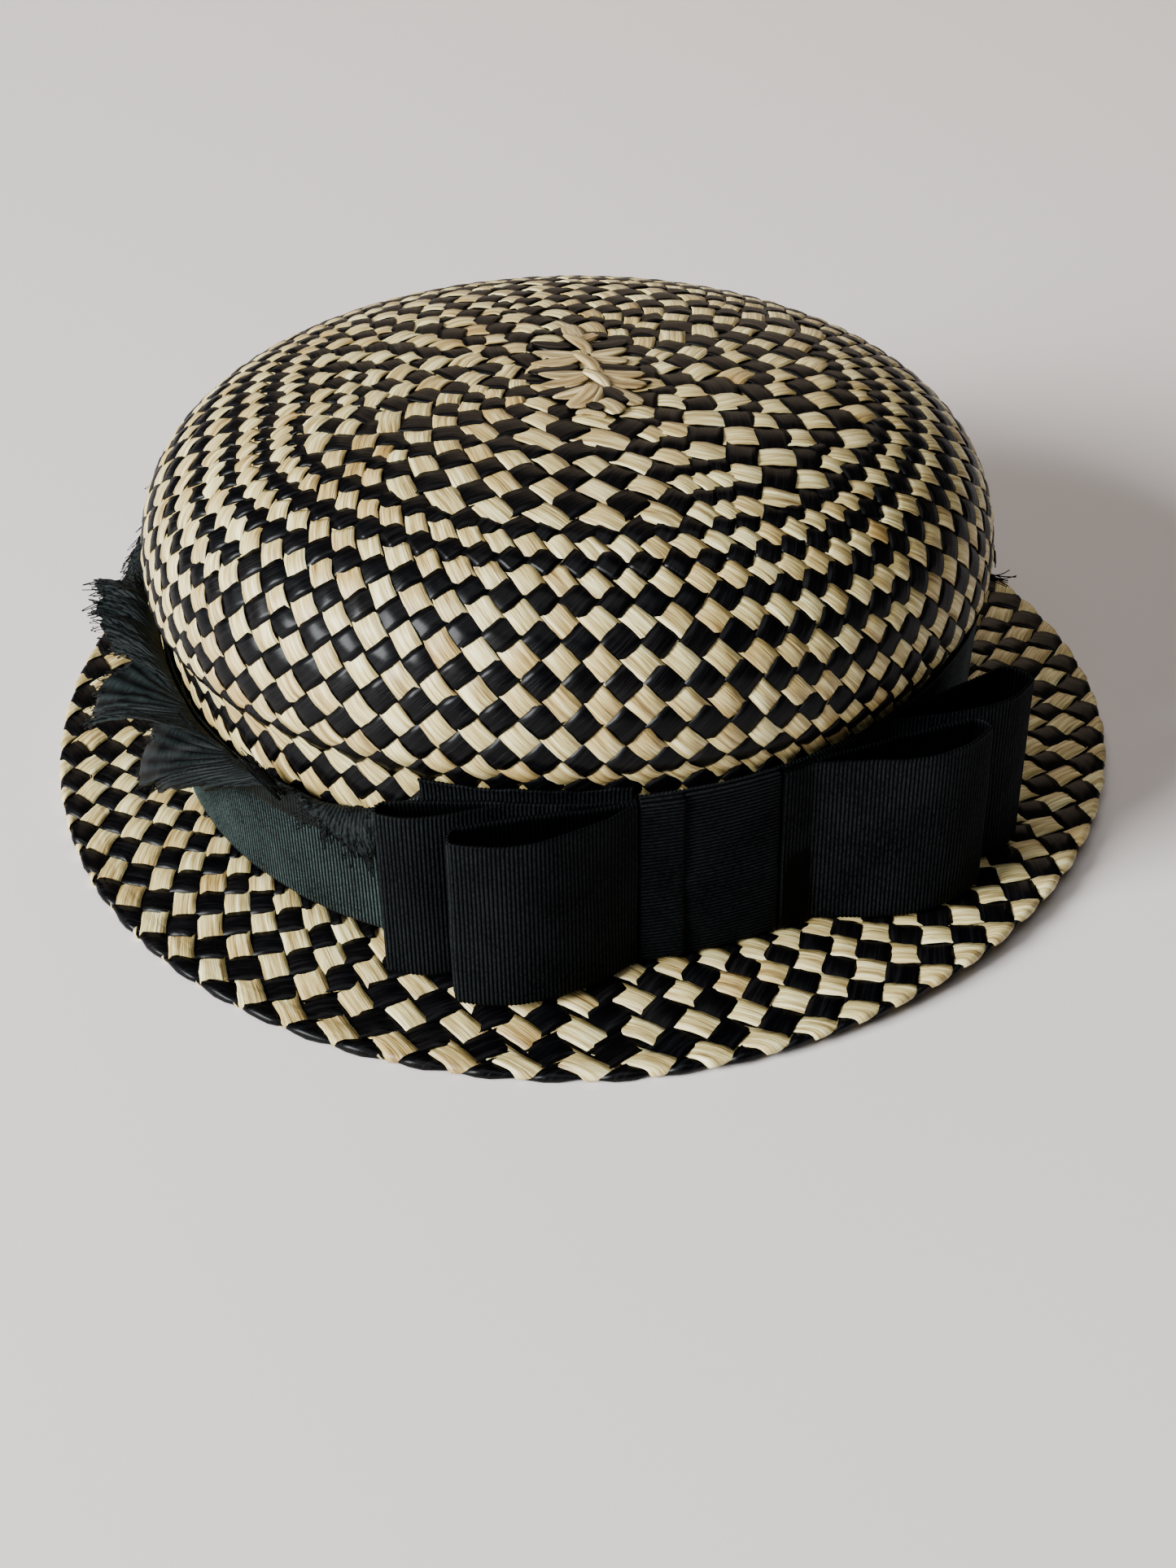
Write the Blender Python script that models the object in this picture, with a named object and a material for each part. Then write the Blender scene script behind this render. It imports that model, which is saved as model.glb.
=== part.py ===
"""A woman's breton hat of woven two-colour straw, with a ribbon band and a flat bow.

The origin is on the surface that the hat lies on, below the middle of the brim.
+Z points up, -Y to the front, where the bow is, and lengths are in metres.
"""

import math

import bmesh
import bpy
from mathutils import Vector

# Clearance between neighbouring pieces.
GAP = 0.0003

# Brim
BRIM_WIDTH = 0.0365
BRIM_OVAL = 1.01
BRIM_THICKNESS = 0.002
BRIM_LIFT = 0.0045
BRIM_DROP_POWER = 1.4
HEM_WIDTH = 0.006
HEM_THICKNESS = 0.0026
HEM_ROUNDING = 0.0012
EDGE_MEAN_LIFT = 0.0022
EDGE_SWAY = 0.002
EDGE_SWAY_ANGLE = 117.7
EDGE_WAVE = 0.0033
EDGE_WAVE_ANGLE = 141.6

# Crown
CROWN_FOOT_RADIUS = 0.0985
WAIST_FLARE = 0.0028
BULGE_DEPTH = 0.0037
CROWN_OVAL = 0.99
CROWN_SHIFT_X = -0.00265
CROWN_SHIFT_Y = -0.0012
CROWN_TILT = -0.06
CROWN_WALL = 0.002
FOOT_TO_WAIST = 0.0415
WAIST_TO_WIDEST = 0.009
DOME_HEIGHT = 0.0485
DOME_SIDE_POWER = 2 / 3.03
DOME_TOP_POWER = 2 / 2.5

# Ribbon, band and bow
RIBBON_WIDTH = 0.0445
RIBBON_THICKNESS = 0.001
BAND_SLACK = 0.0014
BAND_REST = 0.0005
BAND_EASE = 0.0002
BOW_REST = 0.0006
KNOT_THICKNESS = 0.0018
KNOT_PLEAT_RISE = 0.0006
KNOT_START_ANGLE = 278.4
KNOT_PLEAT_ANGLE = 283.2
KNOT_END_ANGLE = 296.4

# Each row is a loop of the bow. It runs from its root beside the knot to its fold, and
# stands off the band by its outer and inner wall's depth there. It hugs the band up to the
# share of its length called hug, and is hollow from the share of the rest called open.
# Power shapes the swell, and layer 0 lies on the band.
LOOP_COLUMNS = ("name", "root_angle", "fold_angle", "outer_depth", "inner_depth",
                "hug", "open", "power", "layer")
LOOP_ROWS = (
    ("left_front_loop", 278.0, 258.0, 0.0150, 0.0090, 0.0, 0.16, 1.0, 1),
    ("left_back_loop", 278.0, 248.6, 0.0100, 0.0055, 0.44, 0.38, 2.0, 0),
    ("right_front_loop", 296.8, 320.6, 0.0180, 0.0125, 0.17, 0.28, 1.3, 1),
    ("right_back_loop", 296.8, 331.0, 0.0185, 0.0090, 0.45, 0.34, 2.0, 0),
)
LOOP_STEPS = 12
LOOP_LAST_HOLLOW = 0.985
LOOP_SWELL_END = 1.1
LOOP_FOLD_FULLNESS = 0.35

# Frayed, gathered strip
RUFFLE_WIDTH = 0.028
RUFFLE_THICKNESS = 0.0012
RUFFLE_TAPE_WIDTH = 0.008
RUFFLE_TAPE_TOP = 0.0035
RUFFLE_STEPS_PER_ROW = 5
SKIRT_SHARES = (0.12, 0.55, 1.0)

# Each row is the crest or the hollow of a fold. The angle is where it is rooted on the
# band, lift is its slope above level, reach its share of the strip's width, and sweep how
# far round its free edge leans.
FOLD_COLUMNS = ("angle", "lift", "reach", "sweep")
FOLD_ROWS = (
    (245.5, -62.0, 0.45, 1.5),
    (241.0, -30.0, 0.32, 0.0),
    (235.0, -15.0, 0.30, -8.0),
    (229.0, -48.0, 0.62, -18.0),
    (222.0, -58.0, 0.98, -17.0),
    (216.0, -30.0, 0.70, -14.0),
    (210.0, -36.0, 0.92, -13.0),
    (204.0, -10.0, 0.60, -10.0),
    (197.0, 14.0, 0.66, -10.0),
    (189.0, 22.0, 0.54, -6.0),
    (181.0, 0.0, 0.28, 0.0),
    (172.0, 0.0, 0.27, 0.0),
    (162.0, -16.0, 0.36, 2.0),
    (150.0, 10.0, 0.60, 0.0),
    (138.0, -30.0, 0.80, 2.0),
    (126.0, 24.0, 0.76, 0.0),
    (114.0, -28.0, 0.82, -2.0),
    (102.0, 26.0, 0.78, 0.0),
    (90.0, -26.0, 0.80, 2.0),
    (78.0, 24.0, 0.76, 0.0),
    (66.0, -28.0, 0.80, -2.0),
    (54.0, 22.0, 0.70, 0.0),
    (42.0, -26.0, 0.60, 2.0),
    (30.0, 6.0, 0.36, 0.0),
    (18.0, -16.0, 0.26, 0.0),
    (8.0, -40.0, 0.24, 0.0),
)

# Braid on top of the crown
BRAID_FRONT_X = 0.005
BRAID_FRONT_Y = -0.0285
BRAID_BACK_X = -0.003
BRAID_BACK_Y = 0.0195
BRAID_WIDTH = 0.0055
BRAID_HEIGHT = 0.0026
BRAID_NECK_SHARE = 0.45
BRAID_LINKS = 4
BRAID_STEPS_PER_LINK = 6

# The braid's section: side is a share of half its width, rise a share of its height.
BRAID_SECTION_COLUMNS = ("side", "rise")
BRAID_SECTION_ROWS = (
    (-1.0, 0.0),
    (0.0, 0.0),
    (1.0, 0.0),
    (0.85, 0.6),
    (0.0, 1.0),
    (-0.85, 0.6),
)

# Fineness of the facets
CROWN_SEGMENTS = 60
BRIM_SEGMENTS = 96
BAND_SEGMENTS = 60
WALL_ROWS = 3
BULGE_ROWS = 3
DOME_ROWS = 9
BRIM_ROWS = 4
BAND_ROW_SHARES = (0.0, 0.35, 0.62, 0.72, 0.8, 0.87, 0.94, 1.0)
SEAT_SAMPLES = 8
KNOT_PLEAT_STEPS = 2
KNOT_PANEL_STEPS = 5
TILT_ROUNDS = 6
CREASE_ANGLE = 50.0
MERGE_DISTANCE = 0.00001

# Radii and heights that follow from the sizes above
CROWN_WAIST_RADIUS = CROWN_FOOT_RADIUS + WAIST_FLARE
CROWN_WIDEST_RADIUS = CROWN_WAIST_RADIUS + BULGE_DEPTH
BRIM_RADIUS = CROWN_FOOT_RADIUS + BRIM_WIDTH
FOOT_TOP = BRIM_LIFT + BRIM_THICKNESS
CROWN_FOOT = FOOT_TOP + GAP
WAIST_HEIGHT = CROWN_FOOT + FOOT_TO_WAIST
WIDEST_HEIGHT = WAIST_HEIGHT + WAIST_TO_WIDEST
CROWN_TOP = WIDEST_HEIGHT + DOME_HEIGHT
BAND_BOTTOM = FOOT_TOP + BAND_REST
BAND_TOP = BAND_BOTTOM + RIBBON_WIDTH
BOW_BOTTOM = FOOT_TOP + BOW_REST
BOW_TOP = BOW_BOTTOM + RIBBON_WIDTH

CREAM = (0.72, 0.60, 0.38)
STRAW_MIX = (0.36, 0.30, 0.20)
RIBBON_BLACK = (0.012, 0.015, 0.015)


def clear_scene():
    """Remove every object that the scene starts with."""
    for thing in list(bpy.data.objects):
        bpy.data.objects.remove(thing, do_unlink=True)


def make_material(name, color, roughness):
    """Return a Principled material for cloth or straw."""
    material = bpy.data.materials.new(name)
    material.use_nodes = True
    shader = material.node_tree.nodes["Principled BSDF"]
    shader.inputs["Base Color"].default_value = (*color, 1.0)
    shader.inputs["Roughness"].default_value = roughness
    shader.inputs["Metallic"].default_value = 0.0
    return material


def add_piece(name, bm, material):
    """Turn a bmesh into a named, smooth-shaded object."""
    bmesh.ops.recalc_face_normals(bm, faces=bm.faces)
    mesh = bpy.data.meshes.new(name)
    bm.to_mesh(mesh)
    bm.free()
    mesh.shade_smooth()
    mesh.set_sharp_from_angle(angle=math.radians(CREASE_ANGLE))
    mesh.materials.append(material)
    piece = bpy.data.objects.new(name, mesh)
    bpy.context.scene.collection.objects.link(piece)
    return piece


def table(columns, rows):
    """Return the rows of a table as dictionaries."""
    return [dict(zip(columns, row)) for row in rows]


def ease(share):
    """Return a share from 0 to 1 with soft ends."""
    share = min(max(share, 0.0), 1.0)
    return share * share * (3.0 - 2.0 * share)


def tilt_weight(height):
    """Return how much of the crown's tilt acts at a height: none at the foot, all above the waist."""
    return ease((height - CROWN_FOOT) / FOOT_TO_WAIST)


def crown_place(angle, radius, height):
    """Return the point at an angle in radians, a radius and a height round the crown's axis."""
    x = CROWN_SHIFT_X + radius * math.cos(angle)
    y = CROWN_SHIFT_Y + CROWN_OVAL * radius * math.sin(angle)
    return Vector((x, y, height))


def tilted(point):
    """Return a point of the upright crown after the crown's tilt."""
    lean = CROWN_TILT * (point.y - CROWN_SHIFT_Y) * tilt_weight(point.z)
    return Vector((point.x, point.y, point.z + lean))


def dome_point(turn):
    """Return radius and height on the dome, from its widest place at 0 to its top at 1."""
    angle = (1.0 - turn) * math.pi / 2
    radius = CROWN_WIDEST_RADIUS * max(math.sin(angle), 0.0) ** DOME_SIDE_POWER
    height = WIDEST_HEIGHT + DOME_HEIGHT * max(math.cos(angle), 0.0) ** DOME_TOP_POWER
    return radius, height


def side_radius(height):
    """Return the upright crown's outer radius at a height up to its widest place."""
    if height <= WAIST_HEIGHT:
        share = (height - CROWN_FOOT) / FOOT_TO_WAIST
        return CROWN_FOOT_RADIUS + (CROWN_WAIST_RADIUS - CROWN_FOOT_RADIUS) * share
    share = min((height - WAIST_HEIGHT) / WAIST_TO_WIDEST, 1.0)
    swell = CROWN_WIDEST_RADIUS - CROWN_WAIST_RADIUS
    return CROWN_WAIST_RADIUS + swell * math.sin(share * math.pi / 2)


def wall_radius(angle, height):
    """Return the finished crown's outer radius at an angle and a height up to its widest place."""
    upright = height
    for _ in range(TILT_ROUNDS):
        reach = CROWN_OVAL * side_radius(upright) * math.sin(angle)
        upright = height - CROWN_TILT * reach * tilt_weight(upright)
    return side_radius(upright)


def crown_profile():
    """Return the crown's outer profile as (radius, height), from the foot to the top."""
    points = []
    for row in range(WALL_ROWS):
        height = CROWN_FOOT + FOOT_TO_WAIST * row / WALL_ROWS
        points.append((side_radius(height), height))
    for row in range(BULGE_ROWS):
        height = WAIST_HEIGHT + WAIST_TO_WIDEST * row / BULGE_ROWS
        points.append((side_radius(height), height))
    for row in range(DOME_ROWS + 1):
        points.append(dome_point(row / DOME_ROWS))
    return points


def inset_profile(points, depth):
    """Return a profile moved inwards by a wall's thickness, with its ends kept level and on the axis."""
    inner = []
    for index, (radius, height) in enumerate(points):
        before = points[max(index - 1, 0)]
        after = points[min(index + 1, len(points) - 1)]
        along = Vector((after[0] - before[0], after[1] - before[1])).normalized()
        inner.append((radius - depth * along.y, height + depth * along.x))
    inner[0] = (points[0][0] - depth, points[0][1])
    inner[-1] = (0.0, points[-1][1] - depth)
    return inner


def spin_profile(points, segments, closed):
    """Return a bmesh of a profile of (radius, height) spun a full turn about Z."""
    bm = bmesh.new()
    verts = [bm.verts.new((radius, 0.0, height)) for radius, height in points]
    edges = [bm.edges.new(pair) for pair in zip(verts, verts[1:])]
    if closed:
        edges.append(bm.edges.new((verts[-1], verts[0])))
    bmesh.ops.spin(
        bm, geom=verts + edges, cent=(0, 0, 0), axis=(0, 0, 1),
        angle=math.tau, steps=segments, use_merge=True)
    bmesh.ops.remove_doubles(bm, verts=bm.verts, dist=MERGE_DISTANCE)
    return bm


def build_crown(material):
    """Hollow straw dome that bulges over the ribbon and stands on the brim."""
    outer = crown_profile()
    inner = inset_profile(outer, CROWN_WALL)
    bm = spin_profile(outer[::-1] + inner, CROWN_SEGMENTS, closed=False)
    for vert in bm.verts:
        angle = math.atan2(vert.co.y, vert.co.x)
        radius = math.hypot(vert.co.x, vert.co.y)
        vert.co = tilted(crown_place(angle, radius, vert.co.z))
    return add_piece("crown", bm, material)


def edge_lift(angle):
    """Return how high the brim's edge stands over the surface that the hat lies on."""
    sway = EDGE_SWAY * math.cos(angle - math.radians(EDGE_SWAY_ANGLE))
    wave = EDGE_WAVE * math.cos(2 * (angle - math.radians(EDGE_WAVE_ANGLE)))
    return max(EDGE_MEAN_LIFT + sway + wave, 0.0)


def brim_section():
    """Return the brim's closed section as (distance out from the foot, height over the underside)."""
    reach = BRIM_RADIUS - CROWN_FOOT_RADIUS + CROWN_WALL
    sheet = reach - HEM_WIDTH
    under = [(sheet * row / BRIM_ROWS, 0.0) for row in range(BRIM_ROWS + 1)]
    over = [(out, BRIM_THICKNESS) for out, _ in reversed(under)]
    hem = [
        (reach - HEM_ROUNDING, 0.0),
        (reach, HEM_THICKNESS / 2),
        (reach - HEM_ROUNDING, HEM_THICKNESS),
        (sheet + HEM_THICKNESS - BRIM_THICKNESS, HEM_THICKNESS),
    ]
    return under + hem + over


def brim_place(angle, out, height):
    """Return the point of the brim at an angle, a distance out from the foot and a height in the sheet."""
    foot = CROWN_FOOT_RADIUS - CROWN_WALL
    sheet = BRIM_RADIUS - foot - HEM_WIDTH
    share = min(out / (BRIM_RADIUS - foot), 1.0)
    drop = min(max(out / sheet, 0.0), 1.0) ** BRIM_DROP_POWER
    oval = CROWN_OVAL + (BRIM_OVAL - CROWN_OVAL) * share
    x = CROWN_SHIFT_X * (1.0 - share) + (foot + out) * math.cos(angle)
    y = CROWN_SHIFT_Y * (1.0 - share) + oval * (foot + out) * math.sin(angle)
    under = BRIM_LIFT + (edge_lift(angle) - BRIM_LIFT) * drop
    return Vector((x, y, under + height))


def build_brim(material):
    """Straw sheet that slopes and waves from the crown's foot out to a folded edge."""
    foot = CROWN_FOOT_RADIUS - CROWN_WALL
    section = [(foot + out, height) for out, height in brim_section()]
    bm = spin_profile(section, BRIM_SEGMENTS, closed=True)
    for vert in bm.verts:
        angle = math.atan2(vert.co.y, vert.co.x)
        out = math.hypot(vert.co.x, vert.co.y) - foot
        vert.co = brim_place(angle, out, vert.co.z)
    return add_piece("brim", bm, material)


def band_inner(angle, height):
    """Return the band's inner radius, which hugs the crown at the top and stands off a little below."""
    share = (BAND_TOP - height) / RIBBON_WIDTH
    return wall_radius(angle, height) + GAP + BAND_EASE + BAND_SLACK * share * share


def band_outer(angle, height):
    """Return the band's outer radius at an angle and a height."""
    return band_inner(angle, height) + RIBBON_THICKNESS


def build_band(material):
    """Grosgrain band round the crown's foot, tucked under the bulge."""
    heights = [BAND_BOTTOM + RIBBON_WIDTH * share for share in BAND_ROW_SHARES]
    mark = CROWN_FOOT_RADIUS
    outer = [(mark + RIBBON_THICKNESS, height) for height in heights]
    inner = [(mark, height) for height in reversed(heights)]
    bm = spin_profile(outer + inner, BAND_SEGMENTS, closed=True)
    for vert in bm.verts:
        angle = math.atan2(vert.co.y, vert.co.x)
        outside = math.hypot(vert.co.x, vert.co.y) > mark + RIBBON_THICKNESS / 2
        radius = band_outer(angle, vert.co.z) if outside else band_inner(angle, vert.co.z)
        vert.co = crown_place(angle, radius, vert.co.z)
    return add_piece("ribbon_band", bm, material)


def bow_seat(angle):
    """Return the radius that the bow's pieces lie on: just clear of the band over their whole height."""
    heights = [BAND_BOTTOM + RIBBON_WIDTH * row / SEAT_SAMPLES for row in range(SEAT_SAMPLES + 1)]
    return max(band_outer(angle, height) for height in heights) + GAP


def plan_loop(bm, points, height):
    """Return the edges of a closed outline, in plan, at a height."""
    verts = [bm.verts.new((point.x, point.y, height)) for point in points]
    return [bm.edges.new((vert, verts[(index + 1) % len(verts)])) for index, vert in enumerate(verts)]


def raise_faces(bm, faces, rise):
    """Extrude flat faces straight up into a closed solid."""
    raised = bmesh.ops.extrude_face_region(bm, geom=faces)
    tops = [item for item in raised["geom"] if isinstance(item, bmesh.types.BMVert)]
    bmesh.ops.translate(bm, verts=tops, vec=(0, 0, rise))


def loop_walls(row, share, inset):
    """Return the outer and inner wall's points of a loop at a share of its length, moved in by an inset."""
    start = math.radians(row["root_angle"])
    angle = start + (math.radians(row["fold_angle"]) - start) * share
    seat = bow_seat(angle) + row["layer"] * (RIBBON_THICKNESS + GAP)
    free = max(share - row["hug"], 0.0) / (1.0 - row["hug"])
    swell = math.sin(min(free * LOOP_SWELL_END, 1.0) * math.pi / 2) ** row["power"]
    outer = seat + RIBBON_THICKNESS + row["outer_depth"] * swell - inset
    inner = seat + row["inner_depth"] * free * free + inset
    return crown_place(angle, outer, 0.0), crown_place(angle, inner, 0.0)


def loop_outline(row, first_share, last_share, inset):
    """Return a loop's outline in plan: out along the outer wall, round the fold, back along the inner."""
    outer, inner = [], []
    for step in range(LOOP_STEPS + 1):
        share = first_share + (last_share - first_share) * step / LOOP_STEPS
        near, far = loop_walls(row, share, inset)
        outer.append(near)
        inner.append(far)
    return outer + [fold_tip(row, outer, inner)] + inner[::-1]


def fold_tip(row, outer, inner):
    """Return the point where a loop's fold reaches furthest, between the ends of its two walls."""
    middle = (outer[-1] + inner[-1]) / 2
    depth = (outer[-1] - inner[-1]).length
    along = (outer[-1] - outer[-2]).normalized()
    return middle + along * depth * LOOP_FOLD_FULLNESS


def build_loop(row, material):
    """Flat loop of ribbon, open from top to bottom, with both walls sewn together at its root."""
    bm = bmesh.new()
    edges = plan_loop(bm, loop_outline(row, 0.0, 1.0, 0.0), BOW_BOTTOM)
    first_hollow = row["hug"] + row["open"] * (1.0 - row["hug"])
    hollow = loop_outline(row, first_hollow, LOOP_LAST_HOLLOW, RIBBON_THICKNESS)
    edges += plan_loop(bm, hollow, BOW_BOTTOM)
    filled = bmesh.ops.triangle_fill(bm, edges=edges, use_beauty=True, normal=(0, 0, 1))["geom"]
    faces = [item for item in filled if isinstance(item, bmesh.types.BMFace)]
    raise_faces(bm, faces, RIBBON_WIDTH)
    return add_piece(row["name"], bm, material)


def knot_side(first_angle, last_angle, depth, steps):
    """Return points of one side of the knot in plan, at a depth over the bow's seat."""
    points = []
    for step in range(steps + 1):
        angle = math.radians(first_angle + (last_angle - first_angle) * step / steps)
        points.append(crown_place(angle, bow_seat(angle) + depth, 0.0))
    return points


def build_knot(material):
    """Ribbon wrapped round the bow's middle: a narrow raised pleat beside a wide panel."""
    rise = KNOT_THICKNESS + KNOT_PLEAT_RISE
    outline = knot_side(KNOT_START_ANGLE, KNOT_PLEAT_ANGLE, rise, KNOT_PLEAT_STEPS)
    outline += knot_side(KNOT_PLEAT_ANGLE, KNOT_END_ANGLE, KNOT_THICKNESS, KNOT_PANEL_STEPS)
    outline += knot_side(KNOT_END_ANGLE, KNOT_START_ANGLE, 0.0, KNOT_PLEAT_STEPS + KNOT_PANEL_STEPS)
    bm = bmesh.new()
    edges = plan_loop(bm, outline, BOW_BOTTOM)
    faces = bmesh.ops.contextual_create(bm, geom=edges)["faces"]
    raise_faces(bm, faces, RIBBON_WIDTH)
    return add_piece("bow_knot", bm, material)


def fold_at(folds, place):
    """Return a fold's values between two rows of the table, eased from one to the next."""
    first = min(int(place), len(folds) - 2)
    share = ease(place - first)
    before, after = folds[first], folds[first + 1]
    return {key: before[key] + (after[key] - before[key]) * share for key in ("lift", "reach", "sweep")}


def ruffle_section(folds, place):
    """Return the ruffle's closed section at a place: a tape on the band and a skirt that stands off it."""
    first = min(int(place), len(folds) - 2)
    span = folds[first + 1]["angle"] - folds[first]["angle"]
    angle = math.radians(folds[first]["angle"] + span * (place - first))
    fold = fold_at(folds, place)
    top = BAND_TOP - RUFFLE_TAPE_TOP
    bottom = top - RUFFLE_TAPE_WIDTH
    seat = max(band_outer(angle, top), band_outer(angle, bottom), band_outer(angle, BAND_TOP)) + GAP
    lift = math.radians(fold["lift"])
    half = RUFFLE_THICKNESS / 2
    root = Vector((seat + RUFFLE_THICKNESS, top - RUFFLE_TAPE_WIDTH / 2))
    out = Vector((math.cos(lift), math.sin(lift)))
    side = Vector((-out.y, out.x)) * half
    length = RUFFLE_WIDTH * fold["reach"]
    section = [(seat, bottom, 0.0), (seat, top, 0.0), (seat + RUFFLE_THICKNESS, top, 0.0)]
    upper = [(share, 1.0) for share in SKIRT_SHARES]
    lower = [(share, -1.0) for share in reversed(SKIRT_SHARES)]
    for share, way in upper + lower:
        point = root + out * length * share + side * way
        section.append((point.x, point.y, share))
    section.append((seat + RUFFLE_THICKNESS, bottom, 0.0))
    sweep = math.radians(fold["sweep"])
    return [crown_place(angle + sweep * lean, radius, height) for radius, height, lean in section]


def build_ruffle(material):
    """Gathered strip round the left side and back: folds fused to the tape that lies on the band."""
    folds = table(FOLD_COLUMNS, FOLD_ROWS)
    steps = (len(folds) - 1) * RUFFLE_STEPS_PER_ROW
    bm = bmesh.new()
    rings = []
    for step in range(steps + 1):
        section = ruffle_section(folds, step / RUFFLE_STEPS_PER_ROW)
        rings.append([bm.verts.new(point) for point in section])
    join_rings(bm, rings)
    return add_piece("ruffle", bm, material)


def join_rings(bm, rings):
    """Close a row of equal rings into one tube with capped ends."""
    edges = []
    for ring in rings:
        edges.append([bm.edges.new((vert, ring[(index + 1) % len(ring)])) for index, vert in enumerate(ring)])
    for before, after in zip(edges, edges[1:]):
        bmesh.ops.bridge_loops(bm, edges=before + after)
    bmesh.ops.contextual_create(bm, geom=edges[0])
    bmesh.ops.contextual_create(bm, geom=edges[-1])


def dome_height(x, y):
    """Return the height of the crown's outer surface over a point of its top."""
    radius = math.hypot(x - CROWN_SHIFT_X, (y - CROWN_SHIFT_Y) / CROWN_OVAL)
    sine = (radius / CROWN_WIDEST_RADIUS) ** (1 / DOME_SIDE_POWER)
    height = WIDEST_HEIGHT + DOME_HEIGHT * math.sqrt(max(1.0 - sine * sine, 0.0)) ** DOME_TOP_POWER
    return height + CROWN_TILT * (y - CROWN_SHIFT_Y)


def braid_ring(bm, share, swell):
    """Return one ring of the braid's section: flat below, where it lies on the crown, and round above."""
    front = Vector((BRAID_FRONT_X, BRAID_FRONT_Y, 0.0))
    back = Vector((BRAID_BACK_X, BRAID_BACK_Y, 0.0))
    along = (back - front).normalized()
    across = Vector((-along.y, along.x, 0.0))
    middle = front + (back - front) * share
    ring = []
    for row in table(BRAID_SECTION_COLUMNS, BRAID_SECTION_ROWS):
        point = middle + across * row["side"] * BRAID_WIDTH / 2 * swell
        base = dome_height(point.x, point.y) + GAP
        ring.append(bm.verts.new((point.x, point.y, base + row["rise"] * BRAID_HEIGHT * swell)))
    return ring


def build_braid(material):
    """Short cream braid on top of the crown: a chain of plump links that narrow between them."""
    bm = bmesh.new()
    rings = []
    steps = BRAID_LINKS * BRAID_STEPS_PER_LINK
    for step in range(steps + 1):
        swing = abs(math.sin(math.pi * step / BRAID_STEPS_PER_LINK))
        swell = BRAID_NECK_SHARE + (1.0 - BRAID_NECK_SHARE) * swing
        rings.append(braid_ring(bm, step / steps, swell))
    join_rings(bm, rings)
    return add_piece("crown_braid", bm, material)


def build_hat():
    """Build every piece of the hat."""
    clear_scene()
    straw = make_material("woven_straw", STRAW_MIX, 0.5)
    cream = make_material("cream_straw", CREAM, 0.45)
    ribbon = make_material("grosgrain", RIBBON_BLACK, 0.8)
    build_brim(straw)
    build_crown(straw)
    build_braid(cream)
    build_band(ribbon)
    build_knot(ribbon)
    for row in table(LOOP_COLUMNS, LOOP_ROWS):
        build_loop(row, ribbon)
    build_ruffle(ribbon)


build_hat()
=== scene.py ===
"""Looks of a breton hat: two-colour woven straw, a grosgrain band and bow, and a frayed strip.

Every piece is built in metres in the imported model's own frame, +Z up and -Y to the front.
"""

import logging
import math
from dataclasses import dataclass, field
from enum import Enum

import bmesh
import bpy
import numpy as np
from mathutils import Matrix


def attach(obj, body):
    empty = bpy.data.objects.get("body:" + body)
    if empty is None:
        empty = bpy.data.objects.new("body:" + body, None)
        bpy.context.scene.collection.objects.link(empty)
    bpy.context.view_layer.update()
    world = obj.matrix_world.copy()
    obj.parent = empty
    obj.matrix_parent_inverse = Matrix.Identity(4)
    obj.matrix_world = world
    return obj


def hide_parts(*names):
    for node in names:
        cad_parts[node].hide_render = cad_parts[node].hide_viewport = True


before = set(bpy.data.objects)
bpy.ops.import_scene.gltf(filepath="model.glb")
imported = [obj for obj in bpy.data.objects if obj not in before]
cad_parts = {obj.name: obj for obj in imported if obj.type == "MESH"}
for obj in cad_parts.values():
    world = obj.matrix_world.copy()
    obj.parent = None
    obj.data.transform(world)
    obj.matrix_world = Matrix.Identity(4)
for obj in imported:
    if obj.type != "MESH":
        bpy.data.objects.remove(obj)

LOG = logging.getLogger("breton_hat")

MM = 0.001
TINY = 1e-9
QUARTER_TURN = math.pi / 2
STRAW_THICKNESS = 0.22 * MM
SPINE_THICKNESS = 0.3 * MM
RIBBON_THICKNESS = 0.6 * MM
STRIP_THICKNESS = 0.35 * MM
YARN_THICKNESS = 0.2 * MM


class Dye(Enum):
    """The two straws of the weave. The value is the side of a crossing that is even."""

    CREAM = 1.0
    BLACK = -1.0


def smooth(share: np.ndarray | float) -> np.ndarray | float:
    """Soften a share from 0 to 1 at both ends.

    Args:
        share: Value or values, held to 0 to 1.

    Returns:
        The softened share.
    """
    share = np.clip(share, 0.0, 1.0)
    return share * share * (3.0 - 2.0 * share)


def wander(values: np.ndarray, seed: float, pitch: float) -> np.ndarray:
    """Return a smooth wander from -1 to 1 along a line.

    Args:
        values: Places along the line.
        seed: Any number, which picks the wander.
        pitch: Length of its longest swing.

    Returns:
        The wander at each place.
    """
    turn = values / pitch * math.tau
    first = np.sin(turn + seed * 12.9898)
    second = np.sin(turn * 1.93 + seed * 78.233)
    third = np.sin(turn * 3.71 + seed * 37.719)
    return (first + 0.6 * second + 0.35 * third) / 1.95


def spline(knots: np.ndarray, places: np.ndarray) -> np.ndarray:
    """Read a smooth curve through evenly numbered knots.

    Args:
        knots: One row for each knot.
        places: Where to read it, in knots from 0.

    Returns:
        One row for each place.
    """
    first = np.clip(np.floor(places).astype(int), 0, len(knots) - 2)
    share = (places - first)[:, None]
    last = len(knots) - 1
    before = knots[np.clip(first - 1, 0, last)]
    start, end = knots[first], knots[first + 1]
    after = knots[np.clip(first + 2, 0, last)]
    bend = 2 * start + (end - before) * share
    bend += (2 * before - 5 * start + 4 * end - after) * share**2
    bend += (3 * start - before - 3 * end + after) * share**3
    return bend / 2


def unit(vectors: np.ndarray) -> np.ndarray:
    """Return vectors at a length of one."""
    return vectors / np.maximum(np.linalg.norm(vectors, axis=-1, keepdims=True), TINY)


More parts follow.
